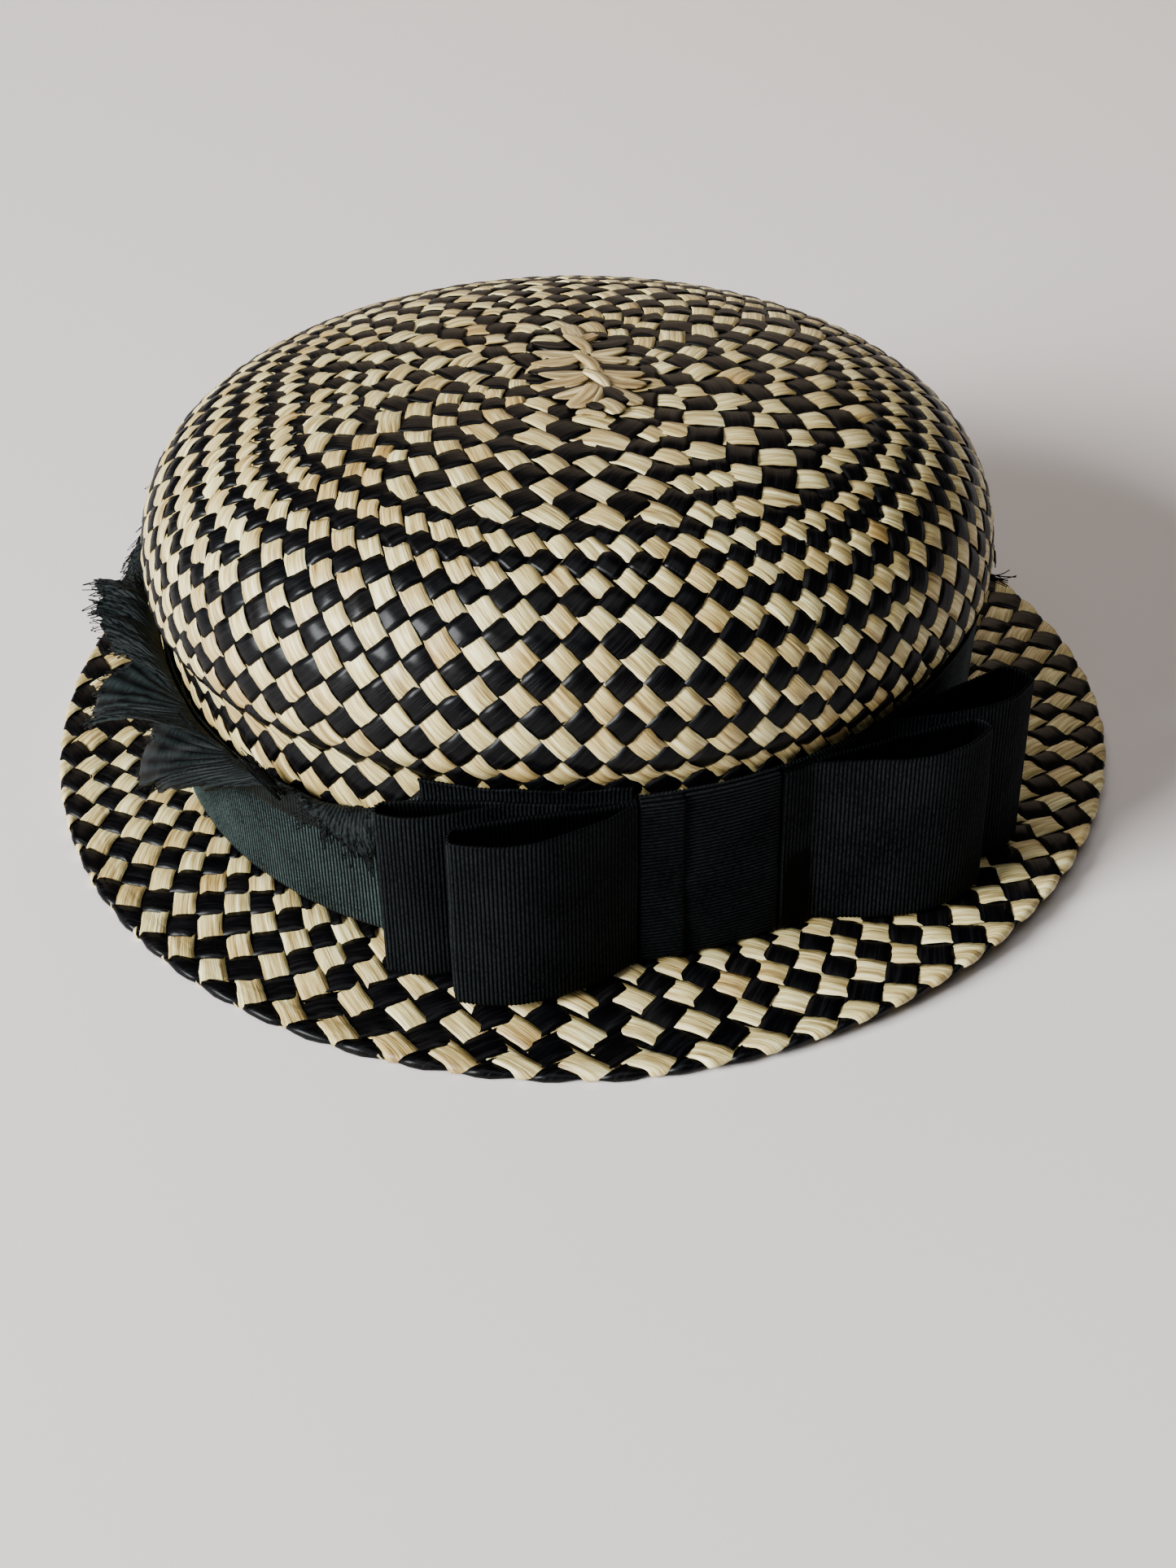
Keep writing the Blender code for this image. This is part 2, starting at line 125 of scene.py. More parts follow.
def run_lengths(points: np.ndarray) -> np.ndarray:
    """Return how far along a line each of its points lies."""
    return np.concatenate([[0.0], np.cumsum(np.linalg.norm(np.diff(points, axis=0), axis=1))])


def read_line(marks: np.ndarray | float, points: np.ndarray, lengths: np.ndarray) -> np.ndarray:
    """Return the points that lie at distances along a line.

    Args:
        marks: The distances.
        points: The line's points.
        lengths: How far along each of them lies.

    Returns:
        One row for each distance.
    """
    return np.stack([np.interp(marks, lengths, points[:, axis]) for axis in range(points.shape[1])], axis=-1)


def cell_angle(phase: tuple[tuple[float, float], ...], count: int, index: np.ndarray | float) -> np.ndarray:
    """Return the angles of places in a row of the weave.

    Args:
        phase: Angles in degrees, each with the number of the cell there.
        count: How many cells the row has.
        index: The places, counted in cells.

    Returns:
        Their angles in radians.
    """
    turns, rest = np.divmod(index, count)
    degrees, cells = zip(*phase)
    return np.radians(np.interp(rest, cells, degrees) + 360.0 * turns)


def read_round(table: tuple[tuple[float, float], ...], angle: np.ndarray | float) -> np.ndarray:
    """Read a table of values that runs once round the hat.

    Args:
        table: Degrees, each with its value, over a full turn.
        angle: Angles in radians.

    Returns:
        The value at each angle.
    """
    degrees, values = zip(*table)
    return np.interp((np.degrees(angle) - degrees[0]) % 360.0 + degrees[0], degrees, values)


def evenly(points: np.ndarray, pitch: float) -> np.ndarray:
    """Space the points of a line evenly along it.

    Args:
        points: One row for each point.
        pitch: The distance between new points, which the line's length rounds.

    Returns:
        The new points, ends included.
    """
    lengths = run_lengths(points)
    count = max(int(round(lengths[-1] / pitch)), 2)
    return read_line(np.linspace(0.0, lengths[-1], count + 1), points, lengths)


class Cloth:
    """A bmesh that grids are laid into, with a place on the straw or ribbon kept for each vertex."""

    def __init__(self) -> None:
        """Start empty."""
        self.bm = bmesh.new()
        self.layer = self.bm.verts.layers.float_vector.new("lie")

    def lay(self, places: np.ndarray, lie: np.ndarray) -> None:
        """Lay one grid.

        Args:
            places: Its points, rows by columns by 3. Seen from outside, columns run to the right
                when rows run up.
            lie: The same shape: across and along in millimetres, and a number for the piece.
        """
        rows, columns = places.shape[:2]
        made = bmesh.ops.create_grid(self.bm, x_segments=columns - 1, y_segments=rows - 1, size=1.0)
        for vert, place, mark in zip(made["verts"], places.reshape(-1, 3), lie.reshape(-1, 3)):
            vert.co = place
            vert[self.layer] = mark

    def finish(self, name: str, material: bpy.types.Material, thickness: float, offset: float = -1.0,
               slot: str | None = None, weld: float = 0.0) -> bpy.types.Object:
        """Turn what was laid into one smooth piece of the hat.

        Args:
            name: The piece's name.
            material: Its material.
            thickness: Its thickness, or 0 to leave it as it is.
            offset: Where the thickness goes: -1 inwards, 0 both ways.
            slot: Not used.
            weld: Distance under which vertices are joined, or 0.

        Returns:
            The piece.
        """
        if weld:
            bmesh.ops.remove_doubles(self.bm, verts=self.bm.verts, dist=weld)
        mesh = bpy.data.meshes.new(name)
        self.bm.to_mesh(mesh)
        self.bm.free()
        mesh.shade_smooth()
        mesh.materials.append(material)
        piece = bpy.data.objects.new(name, mesh)
        bpy.context.scene.collection.objects.link(piece)
        if thickness:
            wall = piece.modifiers.new("thickness", "SOLIDIFY")
            wall.thickness = thickness
            wall.offset = offset
            wall.use_rim = True
        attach(piece, "root")
        LOG.info("%s: %d faces", name, len(mesh.polygons))
        return piece


class Nodes:
    """A material's node tree, with a short way to add and join nodes."""

    def __init__(self, name: str) -> None:
        """Start a material with its Principled shader.

        Args:
            name: The material's name.
        """
        self.material = bpy.data.materials.new(name)
        self.material.use_nodes = True
        self.tree = self.material.node_tree
        self.shader = self.tree.nodes["Principled BSDF"]

    def add(self, kind: str, inputs: dict[str, object] | None = None, **settings: object) -> bpy.types.Node:
        """Add a node.

        Args:
            kind: Its type.
            inputs: Values or output sockets for its inputs, by name or number.
            **settings: Its own properties.

        Returns:
            The node.
        """
        node = self.tree.nodes.new(kind)
        for key, value in settings.items():
            setattr(node, key, value)
        for key, value in (inputs or {}).items():
            self.put(node.inputs[key], value)
        return node

    def put(self, socket: bpy.types.NodeSocket, value: object) -> None:
        """Set an input, or join an output to it.

        Args:
            socket: The input.
            value: A value, or the output.
        """
        if isinstance(value, bpy.types.NodeSocket):
            self.tree.links.new(value, socket)
        else:
            socket.default_value = value

    def math(self, operation: str, first: object, second: object = 0.0) -> bpy.types.NodeSocket:
        """Add a Math node and return its output."""
        return self.add("ShaderNodeMath", {0: first, 1: second}, operation=operation).outputs[0]

    def ramp(self, value: bpy.types.NodeSocket, stops: tuple[tuple[float, tuple[float, ...]], ...]
             ) -> bpy.types.NodeSocket:
        """Add a colour ramp.

        Args:
            value: What it reads.
            stops: Its places and colours, in order.

        Returns:
            Its colour output.
        """
        node = self.add("ShaderNodeValToRGB", {0: value})
        points = node.color_ramp.elements
        while len(points) < len(stops):
            points.new(0.5)
        for point, (place, color) in zip(points, stops):
            point.position = place
            point.color = (*color, 1.0)
        return node.outputs[0]

    def streaks(self, lie: bpy.types.NodeSocket, across: float, along: float, seed: float,
                detail: float = 3.0) -> bpy.types.NodeSocket:
        """Add noise drawn out along a straw or thread.

        Args:
            lie: Across and along in millimetres, and the piece's number.
            across: Swings to a millimetre across.
            along: Swings to a millimetre along.
            seed: How far each piece's pattern lies from the next one's.
            detail: The noise's detail.

        Returns:
            The noise, about 0 to 1.
        """
        stretch = self.add("ShaderNodeVectorMath", {0: lie, 1: (across, along, seed)}, operation="MULTIPLY")
        settings = {"Vector": stretch.outputs[0], "Scale": 1.0, "Detail": detail, "Roughness": 0.6}
        return self.add("ShaderNodeTexNoise", settings).outputs[0]


@dataclass(frozen=True)
class StrawFinish:
    """Raffia: a split leaf, with fine fibres along it, in one dye. The tint is what some straws lean to."""

    name: str
    shade: tuple[float, float, float]
    middle: tuple[float, float, float]
    light: tuple[float, float, float]
    tint: tuple[float, float, float]
    roughness: tuple[float, float]
    specular: float
    coat: float
    coat_roughness: float
    bump: float

    def build(self) -> bpy.types.Material:
        """Build the material.

        Returns:
            The material.
        """
        nodes = Nodes(self.name)
        lie = nodes.add("ShaderNodeAttribute", attribute_name="lie").outputs["Vector"]
        fine = nodes.streaks(lie, across=3.0, along=0.09, seed=31.0)
        broad = nodes.streaks(lie, across=0.85, along=0.06, seed=57.0)
        each = nodes.streaks(lie, across=0.02, along=0.035, seed=91.0, detail=1.0)
        mixed = nodes.math("ADD", nodes.math("MULTIPLY", fine, 0.42), nodes.math("MULTIPLY", broad, 0.58))
        color = nodes.ramp(mixed, ((0.36, self.shade), (0.5, self.middle), (0.63, self.light)))
        amount = nodes.math("MULTIPLY", nodes.math("SUBTRACT", each, 0.42), 2.6)
        tinge = nodes.add("ShaderNodeMix", {"Factor": amount, "A": color, "B": (*self.tint, 1.0)},
                          data_type="RGBA", blend_type="MULTIPLY", clamp_factor=True)
        nodes.put(nodes.shader.inputs["Base Color"], tinge.outputs["Result"])
        low, high = self.roughness
        rough = nodes.math("ADD", nodes.math("MULTIPLY", fine, high - low), low)
        nodes.put(nodes.shader.inputs["Roughness"], rough)
        nodes.shader.inputs["Specular IOR Level"].default_value = self.specular
        nodes.shader.inputs["Coat Weight"].default_value = self.coat
        nodes.shader.inputs["Coat Roughness"].default_value = self.coat_roughness
        relief = nodes.math("ADD", nodes.math("MULTIPLY", fine, 0.6), broad)
        bump = nodes.add("ShaderNodeBump", {"Strength": self.bump, "Distance": 0.0003, "Height": relief})
        nodes.put(nodes.shader.inputs["Normal"], bump.outputs[0])
        return nodes.material


@dataclass(frozen=True)
class RibbonFinish:
    """Grosgrain: fine silky threads laid over ribs, which are rib millimetres apart along rib_axis.

    The colour is darkened between the ribs as painted shade, keeping the groove share of it there, and kept
    full on the crests as painted highlights, which a higher power makes narrower.
    """

    name: str
    dark: tuple[float, float, float]
    light: tuple[float, float, float]
    roughness: float
    specular: float
    sheen: float
    rib: float
    rib_axis: int = 1
    # Share of the colour kept in the painted shade of the grooves between ribs.
    painted_groove_shade: float = 0.25
    # Power that narrows the painted highlights on the rib crests.
    painted_highlight_power: float = 1.0

    def build(self) -> bpy.types.Material:
        """Build the material.

        Returns:
            The material.
        """
        nodes = Nodes(self.name)
        lie = nodes.add("ShaderNodeAttribute", attribute_name="lie").outputs["Vector"]
        yarn = nodes.streaks(lie, across=1.1, along=3.0, seed=13.0, detail=2.0)
        wear = nodes.streaks(lie, across=0.05, along=0.05, seed=29.0)
        both = nodes.math("ADD", nodes.math("MULTIPLY", yarn, 0.6), nodes.math("MULTIPLY", wear, 0.4))
        color = nodes.ramp(both, ((0.35, self.dark), (0.65, self.light)))
        # Painted rib light: the colour is darkened in the grooves as painted shade and kept full on the
        # crests as painted highlights.
        place = nodes.add("ShaderNodeSeparateXYZ", {0: lie}).outputs[self.rib_axis]
        turn = nodes.math("MULTIPLY", place, math.pi / self.rib)
        crest = nodes.math("ABSOLUTE", nodes.math("SINE", turn))
        painted_crest_highlight = nodes.math("POWER", crest, self.painted_highlight_power)
        depth = nodes.math("ADD", nodes.math("MULTIPLY", painted_crest_highlight, 1.0 - self.painted_groove_shade), self.painted_groove_shade)
        shaded = nodes.add("ShaderNodeVectorMath", {0: color, "Scale": depth}, operation="SCALE")
        nodes.put(nodes.shader.inputs["Base Color"], shaded.outputs[0])
        nodes.shader.inputs["Roughness"].default_value = self.roughness
        nodes.shader.inputs["Specular IOR Level"].default_value = self.specular
        nodes.shader.inputs["Sheen Weight"].default_value = self.sheen
        nodes.shader.inputs["Sheen Roughness"].default_value = 0.4
        relief = nodes.math("ADD", crest, nodes.math("MULTIPLY", yarn, 0.6))
        bump = nodes.add("ShaderNodeBump", {"Strength": 0.6, "Distance": 0.0002, "Height": relief})
        nodes.put(nodes.shader.inputs["Normal"], bump.outputs[0])
        return nodes.material


CREAM_STRAW = StrawFinish(
    "cream_straw", (0.20, 0.125, 0.042), (0.565, 0.452, 0.180), (0.94, 0.865, 0.485), (0.66, 0.50, 0.32),
    roughness=(0.34, 0.55), specular=0.42, coat=0.16, coat_roughness=0.28, bump=1.0)
BLACK_STRAW = StrawFinish(
    "black_straw", (0.0004, 0.0004, 0.0006), (0.0010, 0.0010, 0.0014), (0.0045, 0.0046, 0.0055),
    (1.9, 1.5, 1.2), roughness=(0.28, 0.5), specular=0.03, coat=0.13, coat_roughness=0.26, bump=1.0)
SPINE_STRAW = StrawFinish(
    "spine_straw", (0.10, 0.062, 0.020), (0.38, 0.28, 0.12), (0.78, 0.65, 0.35), (0.62, 0.46, 0.28),
    roughness=(0.36, 0.55), specular=0.30, coat=0.10, coat_roughness=0.3, bump=0.9)
GROSGRAIN = RibbonFinish(
    "grosgrain", (0.0012, 0.0014, 0.0018), (0.0125, 0.0150, 0.0170),
    roughness=0.6, specular=0.03, sheen=0.004, rib=0.95, painted_groove_shade=0.01, painted_highlight_power=6.0)
# Painted light: a copy of the grosgrain painted several times lighter than the bow's, with narrower painted
# highlights on its ribs, standing in for the window light on the band's left side.
BAND_GROSGRAIN_PAINTED_LIGHTER = RibbonFinish(
    "band_grosgrain", (0.005, 0.0080, 0.0080), (0.050, 0.074, 0.071),
    roughness=0.6, specular=0.06, sheen=0.02, rib=0.95, painted_groove_shade=0.01, painted_highlight_power=9.0)
FRAYED = RibbonFinish(
    "frayed_ribbon", (0.0010, 0.0015, 0.0016), (0.0130, 0.0185, 0.0185),
    roughness=0.5, specular=0.06, sheen=0.01, rib=0.9, rib_axis=0, painted_groove_shade=0.02, painted_highlight_power=1.8)
FRAYED_YARN = RibbonFinish(
    "frayed_yarn", (0.0004, 0.0006, 0.0007), (0.0020, 0.0030, 0.0032),
    roughness=0.5, specular=0.08, sheen=0.01, rib=1.3, painted_groove_shade=0.6)


@dataclass(frozen=True)
class CrownForm:
    """The crown's outer skin, as the solid has it, read by angle and by distance from the top's middle."""

    foot: float = 98.5 * MM
    waist: float = 101.3 * MM
    widest: float = 105.0 * MM
    oval: float = 0.99
    shift_x: float = -2.65 * MM
    shift_y: float = -1.2 * MM
    tilt: float = -0.06
    foot_height: float = 6.8 * MM
    waist_height: float = 48.3 * MM
    widest_height: float = 57.3 * MM
    dome_height: float = 48.5 * MM
    side_power: float = 2 / 3.03
    top_power: float = 2 / 2.5
    samples: int = 400

    def profile(self) -> np.ndarray:
        """Work out the crown's profile from the middle of the top down to the foot.

        Returns:
            Rows of distance along the profile, radius and height.
        """
        turn = np.linspace(0.0, QUARTER_TURN, self.samples) ** 2 / QUARTER_TURN
        radius = self.widest * np.sin(turn) ** self.side_power
        height = self.widest_height + self.dome_height * np.maximum(np.cos(turn), 0.0) ** self.top_power
        below = np.linspace(self.widest_height, self.foot_height, self.samples)[1:]
        bulge = (below - self.waist_height) / (self.widest_height - self.waist_height)
        wall = (below - self.foot_height) / (self.waist_height - self.foot_height)
        swell = self.waist + (self.widest - self.waist) * np.sin(np.clip(bulge, 0, 1) * QUARTER_TURN)
        straight = self.foot + (self.waist - self.foot) * wall
        radius = np.concatenate([radius, np.where(below > self.waist_height, swell, straight)])
        height = np.concatenate([height, below])
        steps = np.hypot(np.diff(radius), np.diff(height))
        return np.stack([np.concatenate([[0.0], np.cumsum(steps)]), radius, height], axis=1)

    def plan(self, angle: np.ndarray, radius: np.ndarray) -> np.ndarray:
        """Return points in plan at an angle and a radius round the crown's axis."""
        return np.stack([self.shift_x + radius * np.cos(angle),
                         self.shift_y + self.oval * radius * np.sin(angle)], axis=-1)

    def polar(self, flat: np.ndarray) -> tuple[np.ndarray, np.ndarray]:
        """Turn points in plan into angles and radii round the crown's axis.

        Args:
            flat: The points, one row each, x and y first.

        Returns:
            Their angles and their radii.
        """
        x = flat[:, 0] - self.shift_x
        y = (flat[:, 1] - self.shift_y) / self.oval
        return np.arctan2(y, x), np.hypot(x, y)

    def upright(self, angle: np.ndarray, radius: np.ndarray, height: np.ndarray) -> np.ndarray:
        """Return points round the crown's axis, after the crown's tilt.

        Args:
            angle: Their angles.
            radius: Their radii.
            height: Their heights before the tilt.

        Returns:
            The points.
        """
        flat = self.plan(angle, radius)
        weight = smooth((height - self.foot_height) / (self.waist_height - self.foot_height))
        tilted = height + self.tilt * (flat[..., 1] - self.shift_y) * weight
        return np.concatenate([flat, tilted[..., None]], axis=-1)

    def wall(self, angle: np.ndarray, height: np.ndarray) -> np.ndarray:
        """Return the outer radius of the tilted wall.

        Args:
            angle: Angles round the crown's axis.
            height: Heights after the tilt.

        Returns:
            The radius at each.
        """
        line = self.profile()[::-1]
        upright = height
        for _ in range(6):
            reach = self.oval * np.interp(upright, line[:, 2], line[:, 1]) * np.sin(angle)
            weight = smooth((upright - self.foot_height) / (self.waist_height - self.foot_height))
            upright = height - self.tilt * reach * weight
        return np.interp(upright, line[:, 2], line[:, 1])


class Skin:
    """A surface that straws lie on, read by angle and distance, with lift off it."""

    grain = 0.0004

    def bare(self, angle: np.ndarray, dist: np.ndarray) -> np.ndarray:
        """Return points on the surface."""
        raise NotImplementedError

    def reach(self, angle: np.ndarray, dist: np.ndarray) -> np.ndarray:
        """Return the radius, which turns an angle into a length."""
        raise NotImplementedError

    def place(self, angle: np.ndarray, dist: np.ndarray, lift: np.ndarray) -> np.ndarray:
        """Return points off the surface.

        Args:
            angle: Angles in radians.
            dist: Distances out from the middle.
            lift: Heights over the surface.

        Returns:
            The points.
        """
        turn = self.grain / self.reach(angle, dist)
        round_it = self.bare(angle + turn, dist) - self.bare(angle - turn, dist)
        out = self.bare(angle, dist + self.grain) - self.bare(angle, dist - self.grain)
        return self.bare(angle, dist) + unit(np.cross(out, round_it)) * lift[..., None]


class CrownSkin(Skin):
    """The crown's skin, from the middle of the top."""

    least = 2.0 * MM

    def __init__(self, form: CrownForm) -> None:
        """Read the crown's profile.

        Args:
            form: The crown's sizes.
        """
        self.form = form
        self.line = form.profile()
        self.end = float(self.line[-1, 0]) - 2 * self.grain

    def place(self, angle: np.ndarray, dist: np.ndarray, lift: np.ndarray) -> np.ndarray:
        """Return points off the crown, which ends at its foot."""
        return super().place(angle, np.clip(dist, 2 * self.grain, self.end), lift)

    def bare(self, angle: np.ndarray, dist: np.ndarray) -> np.ndarray:
        """Return points on the crown."""
        radius = np.interp(dist, self.line[:, 0], self.line[:, 1])
        return self.form.upright(angle, radius, np.interp(dist, self.line[:, 0], self.line[:, 2]))

    def reach(self, angle: np.ndarray, dist: np.ndarray) -> np.ndarray:
        """Return the crown's radius, held off the middle of the top."""
        return np.maximum(np.interp(dist, self.line[:, 0], self.line[:, 1]), self.least)


@dataclass(frozen=True)
class BrimForm:
    """The brim's sizes, as the solid has them."""

    foot: float = 96.5 * MM
    rim: float = 135.0 * MM
    hem: float = 6.0 * MM
    inner_oval: float = 0.99
    outer_oval: float = 1.01
    shift_x: float = -2.65 * MM
    shift_y: float = -1.2 * MM
    lift: float = 4.5 * MM
    drop_power: float = 1.4
    mean_lift: float = 2.2 * MM
    sway: float = 2.0 * MM
    sway_angle: float = math.radians(117.7)
    wave: float = 3.3 * MM
    wave_angle: float = math.radians(141.6)
    middle: float = 1.0 * MM
    edge_rise: float = 0.75 * MM
    fold_round: float = 0.55 * MM

    def edge(self, angle: np.ndarray) -> np.ndarray:
        """Return how high the edge stands over the table.

        Args:
            angle: Angles round the hat.

        Returns:
            The height at each.
        """
        sway = self.sway * np.cos(angle - self.sway_angle)
        wave = self.wave * np.cos(2 * (angle - self.wave_angle))
        return np.maximum(self.mean_lift + sway + wave, 0.0)


class BrimSkin(Skin):
    """The middle of the brim's straw, by angle and radius, which folds round the edge to the underside."""

    def __init__(self, form: BrimForm) -> None:
        """Keep the brim's sizes.

        Args:
            form: The brim's sizes.
        """
        self.form = form

    def sheet(self, angle: np.ndarray, radius: np.ndarray, rise: np.ndarray) -> np.ndarray:
        """Return points of the brim before its edge is folded.

        Args:
            angle: Their angles.
            radius: Their radii.
            rise: Their rise over the middle of the straw.

        Returns:
            The points.
        """
        form = self.form
        out = radius - form.foot
        share = np.clip(out / (form.rim - form.foot), 0.0, 1.0)
        fall = np.clip(out / (form.rim - form.foot - form.hem), 0.0, 1.0) ** form.drop_power
        oval = form.inner_oval + (form.outer_oval - form.inner_oval) * share
        x = form.shift_x * (1.0 - share) + radius * np.cos(angle)
        y = form.shift_y * (1.0 - share) + oval * radius * np.sin(angle)
        under = form.lift + (form.edge(angle) - form.lift) * fall
        raised = form.middle + form.edge_rise * smooth((share - 0.7) / 0.25)
        return np.stack([x, y, under + raised + rise], axis=-1)

    def bare(self, angle: np.ndarray, dist: np.ndarray) -> np.ndarray:
        """Return points of the straw, which turns under past the edge.

        Args:
            angle: Their angles.
            dist: Their distances out, which run on round the fold.

        Returns:
            The points.
        """
        form = self.form
        bend = form.rim - form.fold_round
        over = np.clip((dist - bend) / form.fold_round, 0.0, math.pi)
        past = np.maximum(dist - bend - math.pi * form.fold_round, 0.0)
        radius = np.where(dist < bend, dist, bend + form.fold_round * np.sin(over) - past)
        rise = form.fold_round * (np.cos(over) - 1.0)
        return self.sheet(angle, radius, rise)

    def reach(self, angle: np.ndarray, dist: np.ndarray) -> np.ndarray:
        """Return the radius, less past the fold."""
        return np.where(dist < self.form.rim, dist, 2 * self.form.rim - dist)


@dataclass
class Straw:
    """One straw of the weave: the crossings that it runs through, from the middle outwards."""

    angles: list[float] = field(default_factory=list)
    dists: list[float] = field(default_factory=list)
    sides: list[float] = field(default_factory=list)
    widths: list[float] = field(default_factory=list)

    def meet(self, angle: float, dist: float, side: float, width: float) -> None:
        """Run through one more crossing.

        Args:
            angle: Its angle.
            dist: Its distance out.
            side: 1 where this straw is on the outside, -1 where it is inside.
            width: The straw's width there.
        """
        if self.angles:
            angle = self.angles[-1] + (angle - self.angles[-1] + math.pi) % math.tau - math.pi
        self.angles.append(angle)
        self.dists.append(dist)
        self.sides.append(side)
        self.widths.append(width)

    def start_early(self, share: float, side: float) -> None:
        """Start before the first crossing.

        Args:
            share: How far before it, in crossings.
            side: The side that the end lies on.
        """
        for values in (self.angles, self.dists):
            values.insert(0, values[0] + (values[0] - values[1]) * share)
        self.sides.insert(0, side)
        self.widths.insert(0, self.widths[0])


@dataclass(frozen=True)
class Lay:
    """How straws lie: their lift over and under each other, their swell, and how uneven they are.

    Swings are the lengths of their slow changes, in crossings.
    """

    lift: float = 0.34 * MM
    swell: float = 0.22 * MM
    ridge: float = 0.08 * MM
    uneven: float = 0.07
    stray: float = 0.22 * MM
    twist: float = 0.16 * MM
    ragged: float = 0.10 * MM
    fuzz: float = 0.04 * MM
    steps: int = 4
    across: int = 4
    base: float = -0.6 * MM
    fine_crossings: float = 4.7
    fine_steps: int = 10
    width_swing: float = 5.0
    stray_swing: float = 3.1
    ridge_swing: float = 2.7
    twist_swing: float = 2.3
    ragged_swing: float = 0.9


class Weaver:
    """Turns straws into ribbons that pass over and under each other on a skin."""

    def __init__(self, skin: Skin, lay: Lay, seed: int) -> None:
        """Get ready to weave.

        Args:
            skin: The surface.
            lay: How the straws lie.
            seed: For the uneven places.
        """
        self.skin = skin
        self.lay = lay
        self.rng = np.random.default_rng(seed)

    def weave(self, cloth: Cloth, straw: Straw, rest: Cloth | None = None, seam: float = math.inf,
              fine_end: bool = False) -> None:
        """Lay one straw into a bmesh.

        Args:
            cloth: The bmesh.
            straw: The straw's crossings.
            rest: The bmesh that takes what lies past the seam.
            seam: Where the seam is, in crossings from the straw's start.
            fine_end: Whether its outer end folds, and needs more steps.
        """
        lay, rng = self.lay, self.rng
        knots = np.array([straw.angles, straw.dists, straw.widths]).T
        last = len(knots) - 1
        places = np.linspace(0.0, last, last * lay.steps + 1)
        tail = math.inf
        if fine_end:
            tail = max(last - lay.fine_crossings, 0)
            keep = places[places < tail - 0.1]
            fine = np.linspace(tail, last, int((last - tail) * lay.fine_steps) + 1)
            places = np.concatenate([keep, fine])
        path = spline(knots, places)
        seed = float(rng.uniform(0.0, 100.0))
        angle, dist, width = path.T
        radius = self.skin.reach(angle, dist)
        run = np.stack([np.gradient(angle) * radius, np.gradient(dist)])
        run /= np.linalg.norm(run, axis=0)
        steps = np.hypot(np.diff(angle) * radius[1:], np.diff(dist))
        along = np.concatenate([[0.0], np.cumsum(steps)])
        change = lay.uneven * wander(places, seed, lay.width_swing)
        width = width * (1.0 + change + rng.normal(0.0, lay.uneven * 0.5))
        stray = lay.stray * wander(places, seed + 1.0, lay.stray_swing)
        twist = lay.twist * wander(places, seed + 2.0, lay.twist_swing)
        ridges = rng.normal(0.0, lay.ridge, lay.across + 1)
        lean = smooth(places - tail + 1.0) * run[0] / np.maximum(run[1], 0.4)
        grid = []
        for column, share in enumerate(np.linspace(-1.0, 1.0, lay.across + 1)):
            ragged = lay.ragged * wander(places, seed + column, lay.ragged_swing) * abs(share)
            off = width / 2 * share + stray + ragged
            slip = -lean * off
            side = self.side_at(np.array(straw.sides), np.interp(along + slip, along, places))
            lift = side * (lay.lift + lay.swell * (1.0 - share * share)) + twist * share
            ridge = ridges[column] * (0.6 + 0.4 * wander(places, seed + 3 * column, lay.ridge_swing))
            lift = lift + ridge * (1 - share**4) + lay.fuzz * rng.normal(0.0, 1.0, len(places))
            across_angle = angle + (run[0] * slip - run[1] * off) / radius
            across_dist = dist + run[0] * off + run[1] * slip
            grid.append((across_angle, across_dist, lift + lay.base, off / MM, (along + slip) / MM))
        angles, dists, lifts, offs, gone = (np.stack(item, axis=1) for item in zip(*grid))
        lie = np.stack([offs, gone, np.full(offs.shape, seed)], axis=-1)
        spots = self.skin.place(angles, dists, lifts)
        cut = int(np.searchsorted(places, seam - 1e-6))
        if rest is None or cut >= len(places) - 1:
            cloth.lay(spots, lie)
        elif cut < 1:
            rest.lay(spots, lie)
        else:
            cloth.lay(spots[:cut + 1], lie[:cut + 1])
            rest.lay(spots[cut:], lie[cut:])

    @staticmethod
    def side_at(sides: np.ndarray, places: np.ndarray) -> np.ndarray:
        """Return the side between crossings, which turns softly from one to the next.

        Args:
            sides: The side at each crossing.
            places: Places in crossings from 0.

        Returns:
            Sides from -1 to 1.
        """
        first = np.clip(np.floor(places).astype(int), 0, len(sides) - 2)
        share = places - first
        soft = 0.5 - 0.5 * np.cos(share * math.pi)
        turn = 0.45 * soft + 0.55 * smooth((share - 0.5) / 0.62 + 0.5)
        return sides[first] + (sides[first + 1] - sides[first]) * turn


@dataclass
class Crossings:
    """The crossings of the crown's weave, row by row, and the straws that run through them."""

    angles: list[np.ndarray] = field(default_factory=list)
    dists: list[np.ndarray] = field(default_factory=list)
    creams: list[list[tuple[int, int]]] = field(default_factory=list)
    blacks: list[list[tuple[int, int]]] = field(default_factory=list)

    def spacing(self, number: int, place: int, skin: Skin) -> float:
        """Return the width that a straw has room for at a crossing.

        Args:
            number: The row.
            place: The place in the row.
            skin: The surface.

        Returns:
            The width.
        """
        angles = self.angles[number]
        before = angles[place - 1] - (math.tau if place == 0 else 0.0)
        after = angles[(place + 1) % len(angles)] + (math.tau if place + 1 == len(angles) else 0.0)
        pitch = (after - before) / 2 * float(skin.reach(angles[place], self.dists[number][place]))
        low, high = max(number - 1, 0), min(number + 1, len(self.angles) - 1)
        rise = self.dist_at(high, angles[place]) - self.dist_at(low, angles[place])
        rise *= 2.0 / (high - low)
        return pitch * rise / math.hypot(pitch, rise)

    def dist_at(self, number: int, angle: float) -> float:
        """Return a row's distance at an angle."""
        return float(np.interp(angle, self.angles[number], self.dists[number], period=math.tau))


